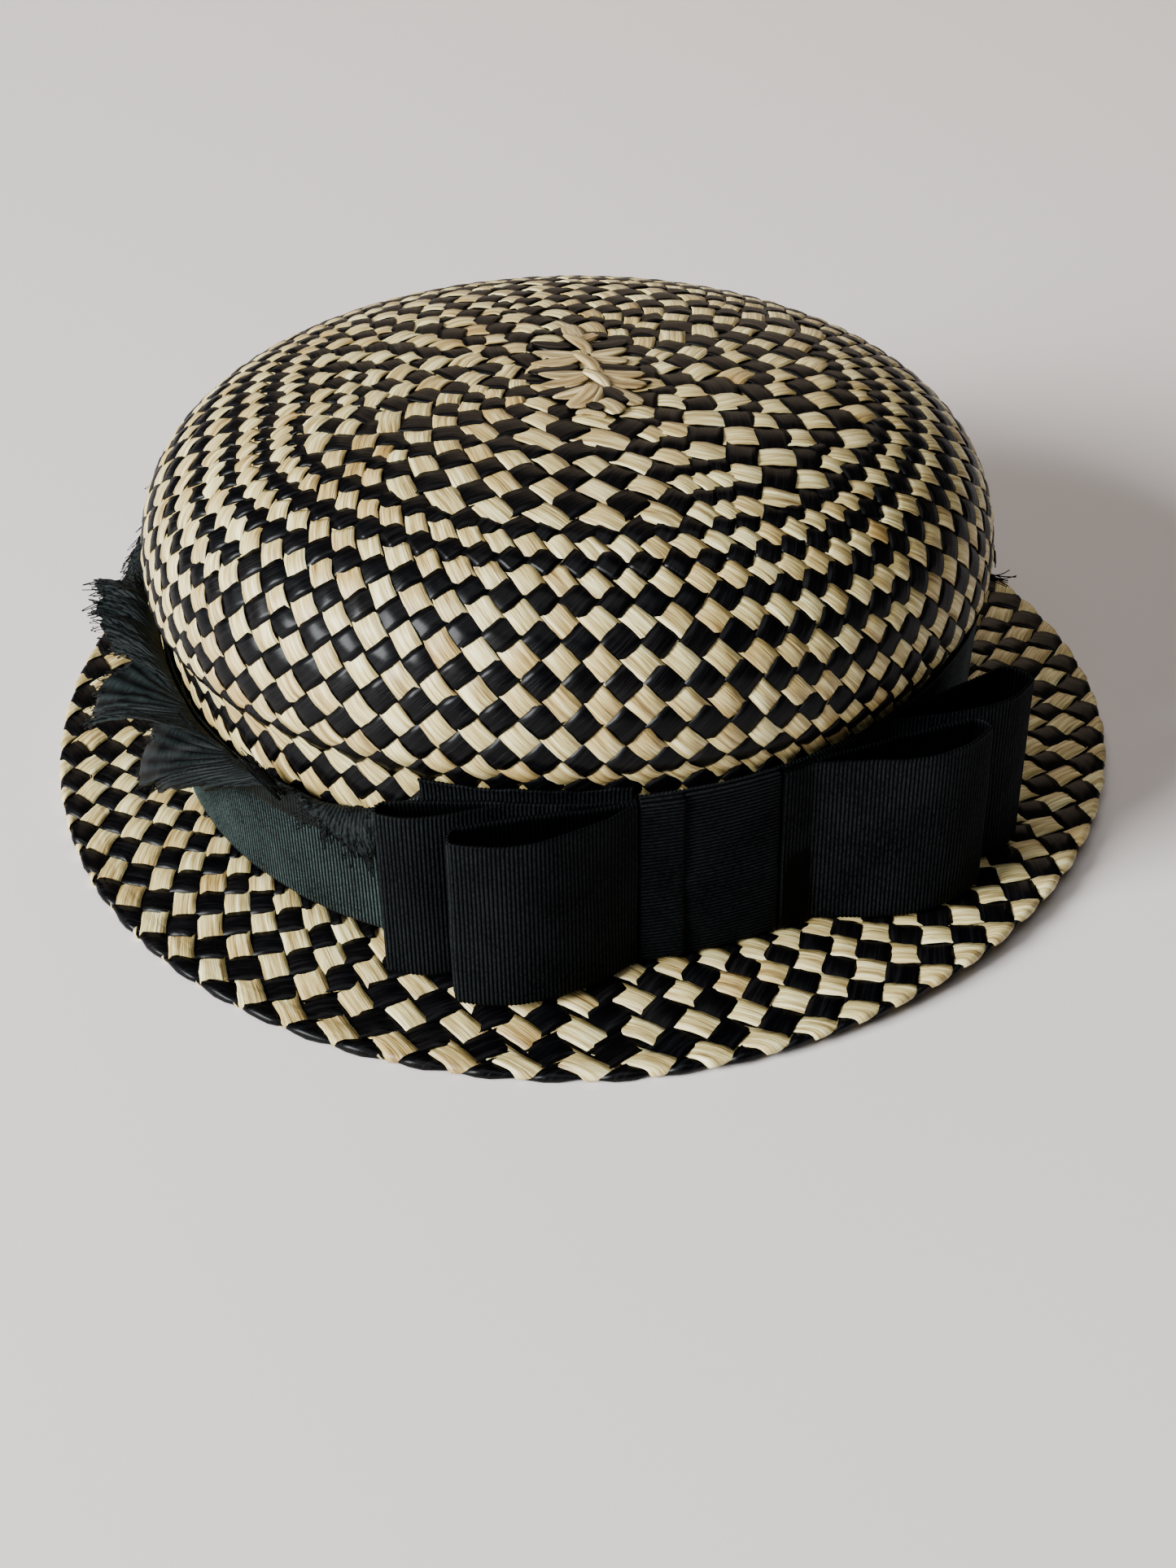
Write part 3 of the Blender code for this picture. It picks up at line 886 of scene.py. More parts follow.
@dataclass
class WovenCrown:
    """The crown: straws in two spirals from the middle of the top down to the foot.

    Rows are numbered from the middle. The marked row is a row of cream cells on the bulge, and its phase
    gives the angle of each of its cells in degrees, its ring the distance in millimetres.
    """

    form: CrownForm
    seed: int = 11
    count: int = 74
    marked_row: int = 22
    marked_dist: float = 103.0 * MM
    top_step: float = 4.3 * MM
    wall_step: float = 4.72 * MM
    full_row: int = 16
    seam_row: int = 17
    foot_row: int = 33
    cream_fill: float = 0.90
    black_fill: float = 1.04
    counts: tuple[tuple[float, float], ...] = (
        (0, 5), (14, 10), (22, 16), (30, 21), (45, 31), (55, 41), (61, 47), (66, 53), (70, 64), (74, 74))
    phase: tuple[tuple[float, float], ...] = (
        (185.5, 0), (191.4, 1), (195.6, 2), (199.8, 3), (203.3, 4), (207.2, 5), (211.7, 6), (215.6, 7),
        (219.8, 8), (224.7, 9), (229.5, 10), (234.4, 11), (239.5, 12), (244.5, 13), (249.5, 14), (254.4, 15),
        (259.3, 16), (264.3, 17), (269.3, 18), (274.2, 19), (279.2, 20), (284.1, 21), (289.2, 22),
        (294.0, 23), (298.5, 24), (302.7, 25), (306.9, 26), (311.2, 27), (315.5, 28), (319.5, 29),
        (323.9, 30), (328.8, 31), (333.9, 32), (338.6, 33), (343.0, 34), (545.5, 74))
    ring: tuple[tuple[float, float], ...] = (
        (185.5, 94.0), (192.0, 95.0), (200.0, 98.3), (207.0, 101.6), (212.0, 102.7), (220.0, 103.3),
        (229.5, 103.0), (240.0, 103.2), (250.0, 104.2), (264.0, 106.0), (279.0, 108.0), (289.0, 109.4),
        (298.0, 111.2), (307.0, 113.2), (316.0, 113.3), (324.0, 112.4), (338.0, 111.4), (350.0, 109.0),
        (450.0, 101.0), (545.5, 94.0))
    first_angle: float = math.radians(200.0)
    foot_dist: float = 90.0 * MM
    mixed_dist: float = 24.0 * MM
    still_dist: float = 22.0 * MM

    def build(self) -> None:
        """Weave the crown, in three bands of pieces from the top to the foot."""
        skin = CrownSkin(self.form)
        crossings = self.cross(skin)
        end = len(crossings.angles)
        fine, plain = Lay(), Lay(steps=3, across=2)
        for dye, threads, finish in ((Dye.CREAM, crossings.creams, CREAM_STRAW),
                                     (Dye.BLACK, crossings.blacks, BLACK_STRAW)):
            color = dye.name.lower()
            material = finish.build()
            top, side, foot = Cloth(), Cloth(), Cloth()
            above = Weaver(skin, fine, self.seed + len(color))
            below = Weaver(skin, plain, self.seed + 2 * len(color))
            for thread in threads:
                self.lay_thread(above, top, side, crossings, thread, dye, 0, self.foot_row)
                self.lay_thread(below, foot, foot, crossings, thread, dye, self.foot_row, end)
            for cloth, part in ((top, "crown_top"), (side, "crown_side"), (foot, "crown_foot")):
                piece = cloth.finish(f"{part}_{color}_straw", material, STRAW_THICKNESS, slot="straw_crown")
                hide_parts("crown")

    def cross(self, skin: CrownSkin) -> Crossings:
        """Work out the crossings: rows from the middle, with straws added in pairs where there is room.

        Args:
            skin: The crown's surface.

        Returns:
            The crossings, drawn to the marked row's phase and ring.
        """
        rng = np.random.default_rng(self.seed)
        found = Crossings()
        start = int(self.counts[0][1])
        angles = self.first_angle + np.arange(start) * math.tau / start
        cream, black = list(range(start)), list(range(start))
        found.creams, found.blacks = [[] for _ in cream], [[] for _ in black]
        radii, counts = zip(*self.counts)
        last = int((skin.line[-1, 0] - self.foot_dist) / self.wall_step) + self.marked_row + 2
        for number in range(last + 1):
            dist = self.mean_dist(number)
            open_row = number % 2 or dist < self.mixed_dist or number == self.full_row
            if 0 < number <= self.full_row and open_row:
                want = round(float(np.interp(dist / MM + 2.0, radii, counts)))
                if number >= self.full_row - 1:
                    want = self.count
                for _ in range(max(want - len(angles), 0)):
                    gaps = np.diff(np.append(angles, angles[0] + math.tau))
                    spot = int(np.argmax(gaps * rng.uniform(0.85, 1.15, len(gaps))))
                    angles = np.insert(angles, spot + 1, angles[spot] + gaps[spot] / 2)
                    cream.insert(spot + 1, len(found.creams))
                    black.insert(spot + 1, len(found.blacks))
                    found.creams.append([])
                    found.blacks.append([])
            for place in range(len(angles)):
                found.creams[cream[place]].append((number, place))
                found.blacks[black[place]].append((number, place))
            found.angles.append(angles.copy())
            found.dists.append(np.full(len(angles), dist))
            angles = (angles + np.append(angles[1:], angles[0] + math.tau)) / 2
            black = black[1:] + black[:1]
        self.draw_to_marks(found)
        return found

    def mean_dist(self, number: int) -> float:
        """Return a row's mean distance from the middle of the top.

        Args:
            number: The row.

        Returns:
            The distance.
        """
        edge = self.marked_dist - (self.marked_row - self.full_row) * self.wall_step
        if number >= self.full_row:
            return edge + (number - self.full_row) * self.wall_step
        return edge - (self.full_row - number) * self.top_step

    def draw_to_marks(self, found: Crossings) -> None:
        """Move every crossing so that the marked row has its phase and its ring.

        Args:
            found: The crossings, which are changed.
        """
        here = found.angles[self.full_row]
        index = np.arange(len(here)) + (self.full_row - self.marked_row) / 2
        tries = [(np.abs(cell_angle(self.phase, self.count, index + shift) - here).mean(), shift)
                 for shift in range(-2 * self.count, 2 * self.count)]
        shift = min(tries)[1]
        change = cell_angle(self.phase, self.count, index + shift) - here
        for number, angles in enumerate(found.angles):
            if number >= self.full_row:
                index = np.arange(len(angles)) + (number - self.marked_row) / 2 + shift
                moved = cell_angle(self.phase, self.count, index)
            else:
                share = min(1.0, (number + 4) / 12)
                moved = angles + np.interp(angles, here, change, period=math.tau) * share
            ring = read_round(self.ring, moved) * MM - self.marked_dist
            mean = self.mean_dist(number)
            still = self.still_dist
            weight = float(smooth((mean - still) / (self.mean_dist(self.full_row) - still)))
            wave = 0.7 * MM * np.sin(3 * moved + mean * 90.0) + 0.4 * MM * np.sin(8 * moved + mean * 150.0)
            found.angles[number] = moved
            found.dists[number] = mean + ring * weight + wave * (1.0 - 0.6 * weight)

    def lay_thread(self, weaver: Weaver, top: Cloth, side: Cloth, found: Crossings,
                   thread: list[tuple[int, int]], dye: Dye, first: int, last: int) -> None:
        """Lay the stretch of one straw between two rows.

        Args:
            weaver: What lays it.
            top: Where its part above the seam row goes.
            side: Where the rest goes.
            found: All crossings.
            thread: The straw's crossings.
            dye: Its colour.
            first: The first row.
            last: The last row.
        """
        end = weaver.skin.end
        spots = [spot for spot in thread if first <= spot[0] <= last]
        straw = Straw()
        for number, place in spots:
            dist = float(found.dists[number][place])
            over = dye.value if number % 2 == 0 else -dye.value
            fill = self.cream_fill if dye is Dye.CREAM else self.black_fill
            width = fill * found.spacing(number, place, weaver.skin)
            straw.meet(float(found.angles[number][place]), min(dist, end), over, width)
            if dist > end:
                break
        if len(straw.angles) < 2:
            return
        begun = 0
        if spots[0] == thread[0]:
            straw.start_early(0.55, -1.0)
            begun = 1
        seam = self.seam_row + 0.5 - spots[0][0] + begun
        weaver.weave(top, straw, side, seam)


@dataclass(frozen=True)
class Leaf:
    """One straw end of the spine, from its root to its tip in plan, in millimetres."""

    root: tuple[float, float]
    tip: tuple[float, float]
    width: float
    lift: float
    point: float = 0.55
    bend: float = 0.0
    arch: float = 0.3


@dataclass
class CrownSpine:
    """The crown's start: a short cream braid, leaf-like straw ends on both sides, and an eye at its front."""

    form: CrownForm
    seed: int = 5
    steps: int = 12
    across: int = 6
    blunt: float = 0.07
    cream: tuple[Leaf, ...] = (
        Leaf((0.8, 9.8), (-1.8, 20.0), 5.0, 0.7, 0.3),
        Leaf((5.2, 13.0), (0.6, 8.4), 4.0, 0.7, 0.4),
        Leaf((1.4, 0.6), (-9.8, 3.4), 4.8, 0.70, 0.7, 0.08),
        Leaf((1.6, -0.8), (-10.4, -3.4), 5.0, 0.62, 0.7, 0.10),
        Leaf((3.0, -10.2), (-8.6, -9.6), 4.8, 0.70, 0.7, 0.08),
        Leaf((3.2, -11.6), (-8.2, -16.0), 5.4, 0.62, 0.7, 0.10),
        Leaf((3.8, -17.6), (-5.2, -22.8), 5.0, 0.75, 0.6, 0.12),
        Leaf((3.6, 0.6), (12.4, 4.4), 4.2, 0.70, 0.45, -0.08),
        Leaf((4.0, -0.8), (12.8, -2.6), 4.6, 0.62, 0.45, -0.08),
        Leaf((5.4, -9.8), (16.4, -10.2), 4.6, 0.70, 0.40, -0.10),
        Leaf((6.2, -12.2), (16.6, -16.4), 5.6, 0.62, 0.40, -0.10),
        Leaf((7.2, -18.4), (15.2, -26.4), 6.0, 0.68, 0.35, -0.06),
        Leaf((4.6, -17.4), (-1.2, -28.6), 6.6, 1.00, 0.32, 0.12, 0.7),
        Leaf((5.6, -19.4), (3.4, -27.4), 4.4, 0.95, 0.3, 0.0, 0.6),
        Leaf((6.2, -25.6), (10.4, -31.2), 5.4, 0.95, 0.22, 0.0, 0.6),
        Leaf((0.2, -30.8), (7.0, -33.0), 2.8, 0.75, 0.4, 0.2),
        Leaf((-2.2, 11.4), (3.9, 0.6), 3.6, 1.25, 0.5, 0.06, 0.8),
        Leaf((0.3, 0.0), (5.6, -10.8), 3.6, 1.25, 0.5, 0.06, 0.8),
        Leaf((2.3, -9.8), (8.0, -18.8), 3.6, 1.2, 0.5, 0.06, 0.8),
        Leaf((3.4, -1.6), (6.6, -10.2), 2.6, 1.1, 0.5, -0.1, 0.6),
    )
    black: tuple[Leaf, ...] = (
        Leaf((0.0, 24.0), (4.0, -33.0), 15.0, -0.5, 0.8, 0.0, 0.1),
        Leaf((-0.4, 6.2), (-10.6, 9.6), 5.2, 0.45, 0.5, 0.1),
        Leaf((1.0, -5.0), (-11.2, -8.0), 5.2, 0.45, 0.5, 0.1),
        Leaf((2.6, -15.6), (-9.0, -20.4), 5.2, 0.45, 0.5, 0.1),
        Leaf((3.4, 6.4), (12.8, 10.0), 5.2, 0.45, 0.5, -0.1),
        Leaf((5.0, -5.4), (15.4, -6.8), 5.0, 0.45, 0.5, -0.1),
        Leaf((7.0, -14.6), (17.8, -14.0), 4.0, 0.4, 0.5, -0.1),
        Leaf((6.4, -19.2), (11.4, -27.0), 5.8, 0.8, 0.2, 0.0, 0.5),
        Leaf((3.0, -27.4), (6.0, -30.8), 3.4, 1.35, 0.5, 0.0, -0.2),
    )

    def build(self) -> None:
        """Lay the straw ends of both colours."""
        skin = CrownSkin(self.form)
        for leaves, finish, color, slot, node in (
                (self.cream, SPINE_STRAW, "cream", "cream_straw", "crown_braid"),
                (self.black, BLACK_STRAW, "black", "straw_crown", "crown")):
            rng = np.random.default_rng(self.seed)
            cloth = Cloth()
            for leaf in leaves:
                self.lay_leaf(cloth, skin, leaf, rng)
            piece = cloth.finish(f"spine_{color}_straw", finish.build(), SPINE_THICKNESS, slot=slot)
            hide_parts(node)

    def lay_leaf(self, cloth: Cloth, skin: CrownSkin, leaf: Leaf, rng: np.random.Generator) -> None:
        """Lay one straw end.

        Args:
            cloth: Where it goes.
            skin: The crown's surface.
            leaf: Its sizes.
            rng: For its fibres.
        """
        root, tip = np.array(leaf.root), np.array(leaf.tip)
        along = tip - root
        length = float(np.linalg.norm(along))
        side = np.array([-along[1], along[0]]) / length
        share = np.linspace(0.0, 1.0, self.steps + 1)
        full = np.sin(np.clip(share * 0.93 + 0.07, 0.0, 1.0) * math.pi) ** leaf.point
        full = np.maximum(full, self.blunt)
        bow = np.sin(share * math.pi) * leaf.bend * length
        middle = root + np.outer(share, along) + np.outer(bow, side)
        ridges = rng.normal(0.0, 0.12, self.across + 1)
        seed = float(rng.uniform(0.0, 100.0))
        grid, lie = [], []
        for column, spot in enumerate(np.linspace(-1.0, 1.0, self.across + 1)):
            off = spot * leaf.width / 2 * full
            plan = (middle + np.outer(off, side)) * MM
            lift = leaf.lift + leaf.arch * (1.0 - spot * spot) * full - 0.5 * share**2 * leaf.arch
            lift = lift + ridges[column] * (1.0 - spot**4) * full
            grid.append(self.on_crown(skin, plan, lift * MM))
            lie.append(np.column_stack([off, share * length, np.full(len(share), seed)]))
        cloth.lay(np.stack(grid, axis=1)[::-1], np.stack(lie, axis=1)[::-1])

    def on_crown(self, skin: CrownSkin, plan: np.ndarray, lift: np.ndarray) -> np.ndarray:
        """Return points over the crown's top.

        Args:
            skin: The crown's surface.
            plan: Their places in plan.
            lift: Their heights over the surface.

        Returns:
            The points.
        """
        angle, radius = self.form.polar(plan)
        top = skin.line[:self.form.samples]
        return skin.place(angle, np.interp(radius, top[:, 1], top[:, 0]), lift)


@dataclass
class WovenBrim:
    """The brim: the same two spirals, looser, with each straw folded round the edge to the underside."""

    form: BrimForm
    seed: int = 29
    count: int = 70
    phase: tuple[tuple[float, float], ...] = (
        (189.9, 0), (194.1, 1), (198.6, 2), (203.1, 3), (208.2, 4), (213.3, 5), (218.7, 6), (223.8, 7),
        (228.9, 8), (234.3, 9), (239.4, 10), (245.1, 11), (251.2, 12), (257.2, 13), (263.4, 14), (269.8, 15),
        (276.3, 16), (281.9, 17), (287.4, 18), (292.5, 19), (297.3, 20), (301.8, 21), (306.4, 22),
        (311.0, 23), (315.6, 24), (320.2, 25), (324.8, 26), (329.5, 27), (334.4, 28), (339.4, 29),
        (344.6, 30), (349.8, 31), (355.2, 32), (549.9, 70))
    edge_row: tuple[tuple[float, float], ...] = (
        (180, 126.5), (195, 127.2), (204, 128.6), (213, 129.8), (230, 130.2), (245, 131.2), (264, 131.9),
        (285, 132.6), (300, 133.4), (320, 134.6), (345, 135.7), (360, 136.4), (450, 131.5), (540, 126.5))
    first_row: int = 7
    last_row: int = -4
    row_step: float = 4.85 * MM
    row_squeeze: float = 0.0725 * MM
    lay: Lay = Lay(swell=0.30 * MM, base=0.3 * MM, stray=0.25 * MM, twist=0.2 * MM, uneven=0.08)
    cream_width: float = 6.2 * MM
    black_width: float = 7.4 * MM

    def build(self) -> None:
        """Weave the brim."""
        skin = BrimSkin(self.form)
        for dye, finish in ((Dye.CREAM, CREAM_STRAW), (Dye.BLACK, BLACK_STRAW)):
            color = dye.name.lower()
            cloth = Cloth()
            weaver = Weaver(skin, self.lay, self.seed + len(color))
            for number in range(self.count):
                weaver.weave(cloth, self.straw(number, dye), fine_end=True)
            piece = cloth.finish(f"brim_{color}_straw", finish.build(), STRAW_THICKNESS, slot="straw_brim")
            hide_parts("brim")

    def straw(self, number: int, dye: Dye) -> Straw:
        """Return one straw of the brim.

        Args:
            number: Which one.
            dye: Its colour.

        Returns:
            Its crossings, from the crown's foot to where it ends under the brim.
        """
        straw = Straw()
        turn = -0.5 if dye is Dye.CREAM else 0.5
        for row in range(self.first_row, self.last_row - 1, -1):
            angle = float(cell_angle(self.phase, self.count, number + turn * row))
            ring = float(read_round(self.edge_row, angle)) * MM
            ring = ring - self.row_step * row + self.row_squeeze * row * abs(row)
            side = dye.value if row % 2 == 0 else -dye.value
            width = self.cream_width if dye is Dye.CREAM else self.black_width
            straw.meet(angle, max(ring, self.form.foot - 2 * MM), side, width)
        return straw


@dataclass
class Ribbon:
    """Sizes of the grosgrain, and a way to lay it along a line in plan."""

    width: float = 44.5 * MM
    pitch: float = 0.95 * MM
    relief: float = 0.16 * MM
    steps_per_rib: int = 4
    picot: float = 0.3 * MM
    shares: tuple[float, ...] = (0.0, 0.012, 0.03, 0.06, 0.2, 0.4, 0.6, 0.8, 0.94, 0.97, 0.988, 1.0)

    def ribs(self, count: int) -> tuple[np.ndarray, np.ndarray, np.ndarray]:
        """Work out the ribs at evenly spaced points.

        Args:
            count: How many points.

        Returns:
            Their places counted in ribs, the relief there, and the picot of an edge there.
        """
        ribs = np.arange(count) / self.steps_per_rib
        relief = self.relief * (1.0 - 2.0 * np.abs(np.cos(ribs * math.pi)) ** 1.6)
        return ribs, relief, self.picot * np.cos(ribs * math.pi) ** 2

    @staticmethod
    def marks(across: float, along: np.ndarray, seed: float) -> np.ndarray:
        """Return one row of places on the cloth, in metres across and along, for the finish."""
        return np.column_stack([np.full(len(along), across / MM), along / MM, np.full(len(along), seed)])

    def lay(self, cloth: Cloth, line: np.ndarray, low: float, seed: float, sag: float = 0.25 * MM,
            closed: bool = False) -> None:
        """Lay the ribbon on its edge along a line in plan, with its ribs upright.

        Args:
            cloth: Where it goes.
            line: Points in plan, with the outside on the right hand.
            low: The height of its lower edge.
            seed: For its slight waves.
            sag: How far it waves.
            closed: Whether the line is a closed ring.
        """
        points = evenly(line, self.pitch / self.steps_per_rib)
        run = np.gradient(points, axis=0)
        if closed:
            run[0] = run[-1] = points[1] - points[-2]
        run = unit(run)
        out = np.stack([run[:, 1], -run[:, 0]], axis=1)
        gone = run_lengths(points)
        ribs, relief, picot = self.ribs(len(points))
        wave = sag * wander(gone, seed, 0.045)
        grid, lie = [], []
        for share in self.shares:
            inner = min(share, 1.0 - share)
            fade = 0.0 if inner < 0.02 else 1.0
            edge = picot if inner == 0.0 else 0.0
            height = low + self.width * share + wave * 0.6 + (edge if share > 0.5 else -edge)
            bulge = relief * fade + sag * wander(gone + share * 0.02, seed + 4.0, 0.031)
            flat = points + out * (bulge if share else bulge * 0.6)[:, None]
            grid.append(np.column_stack([flat, height]))
            lie.append(self.marks(self.width * share, ribs * self.pitch, seed))
        cloth.lay(np.stack(grid), np.stack(lie))


@dataclass
class RibbonBand:
    """The band round the crown's foot, and the seat that the bow lies on."""

    form: CrownForm
    ribbon: Ribbon
    low: float = 7.0 * MM
    gap: float = 0.5 * MM
    slack: float = 1.4 * MM
    stand: float = 1.3 * MM
    weld: float = 0.03 * MM
    dip: tuple[tuple[float, float], ...] = (
        (0, 0.0), (172, 0.0), (184, 3.0), (194, 7.5), (206, 11.0), (216, 12.5), (236, 12.5), (243, 10.0),
        (248, 6.0), (253, 0.0), (360, 0.0))

    def top(self, angle: np.ndarray) -> np.ndarray:
        """Return the height of the band's upper edge, which dips behind the frayed strip at the left."""
        return self.low + self.ribbon.width - read_round(self.dip, angle) * MM

    def inner(self, angle: np.ndarray, height: np.ndarray) -> np.ndarray:
        """Return the band's inner radius."""
        share = (self.low + self.ribbon.width - height) / self.ribbon.width
        return self.form.wall(angle, height) + self.gap + self.slack * share * share

    def seat(self, angle: np.ndarray) -> np.ndarray:
        """Return the radius that the bow lies on.

        Args:
            angle: Angles round the crown's axis.

        Returns:
            The radius at each.
        """
        heights = np.linspace(self.low, self.low + self.ribbon.width, 9)
        radii = [self.inner(angle, np.full_like(angle, height)) for height in heights]
        return np.max(radii, axis=0) + self.stand

    def middle(self, angle: np.ndarray, height: np.ndarray) -> np.ndarray:
        """Return the radius of the middle of the band's cloth, held to the band's own height."""
        return self.inner(angle, np.clip(height, self.low, self.low + self.ribbon.width)) + 0.5 * MM

    def build(self) -> None:
        """Lay the band."""
        cloth = Cloth()
        angle = np.linspace(0.0, math.tau, 1441)
        line = self.form.plan(angle, self.middle(angle, np.full_like(angle, math.inf)))
        self.ribbon.lay(cloth, line, self.low, 3.0, 0.12 * MM, closed=True)
        self.hug(cloth)
        # The band takes the lighter painted-light copy of the grosgrain.
        piece = cloth.finish("band_ribbon", BAND_GROSGRAIN_PAINTED_LIGHTER.build(), RIBBON_THICKNESS, 0.0, "grosgrain",
                             self.weld)
        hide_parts("ribbon_band")
        flat = (self.ribbon.width, float(run_lengths(line)[-1]))

    def hug(self, cloth: Cloth) -> None:
        """Move the band's points onto the crown's wall, height by height.

        Args:
            cloth: The bmesh that holds them.
        """
        verts = list(cloth.bm.verts)
        spots = np.array([vert.co for vert in verts])
        angle, radius = self.form.polar(spots)
        height = self.low + (spots[:, 2] - self.low) * (self.top(angle) - self.low) / self.ribbon.width
        radius += self.middle(angle, height) - self.middle(angle, np.full_like(angle, math.inf))
        for vert, spot in zip(verts, np.column_stack([self.form.plan(angle, radius), height])):
            vert.co = spot


@dataclass(frozen=True)
class LoopSize:
    """One loop of the bow, as the solid has it.

    Root and fold are angles in degrees. Hug is the share that lies close, and power how late it swells.
    """

    name: str
    root: float
    fold: float
    outer_depth: float
    inner_depth: float
    hug: float
    power: float
    layer: int


@dataclass
class RibbonBow:
    """The flat bow: four loops of ribbon and the knot round their middle."""

    band: RibbonBand
    low: float = 7.1 * MM
    loops: tuple[LoopSize, ...] = (
        LoopSize("left_front_loop", 278.0, 258.0, 15.0 * MM, 9.0 * MM, 0.0, 1.0, 1),
        LoopSize("left_back_loop", 278.0, 248.6, 10.0 * MM, 5.5 * MM, 0.44, 2.0, 0),
        LoopSize("right_front_loop", 296.8, 320.6, 18.0 * MM, 12.5 * MM, 0.17, 1.3, 1),
        LoopSize("right_back_loop", 296.8, 331.0, 18.5 * MM, 9.0 * MM, 0.45, 2.0, 0),
    )
    knot_angles: tuple[float, float, float] = (278.4, 283.2, 296.4)
    backing_angles: tuple[float, float] = (251.5, 277.6)
    backing_top: float = 55.0 * MM
    backing_width: float = 13.0 * MM
    backing_radius: float = 104.5 * MM
    backing_gap: float = 1.7 * MM
    backing_seed: float = 61.0
    layer_step: float = 1.3 * MM
    knot_degree: float = 1.8 * MM
    knot_flat: tuple[float, float] = (34.0 * MM, 58.0 * MM)

    def build(self) -> None:
        """Lay the loops and the knot."""
        for number, size in enumerate(self.loops):
            cloth = Cloth()
            line = self.loop_line(size)
            self.band.ribbon.lay(cloth, line, self.low, 7.0 + 3.3 * number, 0.3 * MM)
            piece = cloth.finish(f"{size.name}_ribbon", GROSGRAIN.build(), RIBBON_THICKNESS, 0.0, "grosgrain")
            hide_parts(size.name)
            flat = (self.band.ribbon.width, float(run_lengths(line)[-1]))
        self.build_knot()
        self.build_backing()

    def build_backing(self) -> None:
        """Lay the layer of ribbon behind the left loops, which stands a little over the band's edge."""
        ribbon, form = self.band.ribbon, self.band.form
        first, last = (math.radians(angle) for angle in self.backing_angles)
        length = (last - first) * self.backing_radius
        count = int(round(length / ribbon.pitch)) * ribbon.steps_per_rib
        angle = np.linspace(first, last, count + 1)
        ribs, relief, picot = ribbon.ribs(count + 1)
        grid, lie = [], []
        for share in (0.0, 0.2, 0.4, 0.6, 0.8, 0.92, 0.97, 1.0):
            at_edge = share == 1.0
            high = self.backing_top + 0.6 * MM * wander(angle * 0.1, 2.0, 0.02)
            height = high - self.backing_width * (1.0 - share) + (picot if at_edge else 0.0)
            radius = form.wall(angle, height) + self.backing_gap + relief * (0.4 if at_edge else 1.0)
            grid.append(np.column_stack([form.plan(angle, radius), height]))
            lie.append(ribbon.marks(self.backing_width * share, ribs * ribbon.pitch, self.backing_seed))
        cloth = Cloth()
        cloth.lay(np.stack(grid), np.stack(lie))
        piece = cloth.finish("backing_ribbon", GROSGRAIN.build(), RIBBON_THICKNESS, 0.0, "grosgrain")

    def loop_line(self, size: LoopSize) -> np.ndarray:
        """Return a loop's line in plan: out along one wall, round the fold and back along the other.

        Args:
            size: The loop.

        Returns:
            Its points, with the loop's outside on the right hand.
        """
        half = 0.5 * MM
        share = np.linspace(0.0, 1.0, 25)
        angle = np.radians(size.root + (size.fold - size.root) * share)
        seat = self.band.seat(angle) + size.layer * self.layer_step
        free = np.clip((share - size.hug) / (1.0 - size.hug), 0.0, 1.0)
        swell = np.sin(np.minimum(free * 1.1, 1.0) * QUARTER_TURN) ** size.power
        form = self.band.form
        outer = form.plan(angle, seat + 1.0 * MM + size.outer_depth * swell - half)
        inner = form.plan(angle, seat + size.inner_depth * free * free + half)
        depth = float(np.linalg.norm(outer[-1] - inner[-1]))
        ahead = unit(outer[-1] - outer[-2])
        turn = np.linspace(0.0, math.pi, 13)[1:-1]
        middle, arm = (outer[-1] + inner[-1]) / 2, (outer[-1] - inner[-1]) / 2
        tip = middle + np.outer(np.cos(turn), arm) + np.outer(np.sin(turn), ahead) * depth * 0.35
        line = np.concatenate([outer, tip, inner[::-1]])
        clockwise = size.fold < size.root
        return line[::-1] if clockwise else line

    def build_knot(self) -> None:
        """Lay the knot: two panels of ribbon that run up, over the bow's top and down behind."""
        cloth = Cloth()
        first, pleat, last = self.knot_angles
        self.lay_panel(cloth, pleat - 0.3, last, 1.5 * MM, 41.0)
        self.lay_panel(cloth, first, pleat + 0.5, 2.2 * MM, 43.0)
        piece = cloth.finish("knot_ribbon", GROSGRAIN.build(), RIBBON_THICKNESS, 0.0, "grosgrain")
        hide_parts("bow_knot")

    def lay_panel(self, cloth: Cloth, first: float, last: float, depth: float, seed: float) -> None:
        """Lay one panel of the knot, with its ribs level.

        Args:
            cloth: Where it goes.
            first: Its left edge's angle in degrees.
            last: Its right edge's angle.
            depth: How far its face stands over the bow's seat.
            seed: For its slight waves.
        """
        ribbon = self.band.ribbon
        low, high = self.low - 0.1 * MM, self.low + ribbon.width + 0.2 * MM
        back = 0.4 * MM
        path = np.array([[back, low + 3 * MM], [back, low], [depth * 0.6, low - 0.2 * MM],
                         [depth, low + 1.0 * MM], [depth, low + 6 * MM], [depth, high - 6 * MM],
                         [depth, high - 0.9 * MM], [depth * 0.6, high + 0.1 * MM], [back, high],
                         [back, high - 4 * MM]])
        path = evenly(spline(path, np.linspace(0, len(path) - 1, 181)), ribbon.pitch / ribbon.steps_per_rib)
        run = unit(np.gradient(path, axis=0))
        out = np.stack([run[:, 1], -run[:, 0]], axis=1)
        ribs, relief, picot = ribbon.ribs(len(path))
        gone = ribs * ribbon.pitch
        seat = self.band.seat(np.radians(np.array([first, last])))
        grid, lie = [], []
        for share in (0.0, 0.03, 0.08, 0.3, 0.5, 0.7, 0.92, 0.97, 1.0):
            inner = min(share, 1.0 - share)
            edge = picot if inner == 0.0 else 0.0
            sway = 0.25 * MM * wander(gone + share * 0.01, seed, 0.05)
            turn = math.radians(first + (last - first) * share)
            radius = seat[0] + (seat[1] - seat[0]) * share + path[:, 0] + sway * (path[:, 0] > depth * 0.9)
            fade = relief * (0.0 if inner < 0.05 else 1.0)
            radius = radius + out[:, 0] * fade
            turns = turn + (edge if share > 0.5 else -edge) / radius + 0.2 * sway / radius
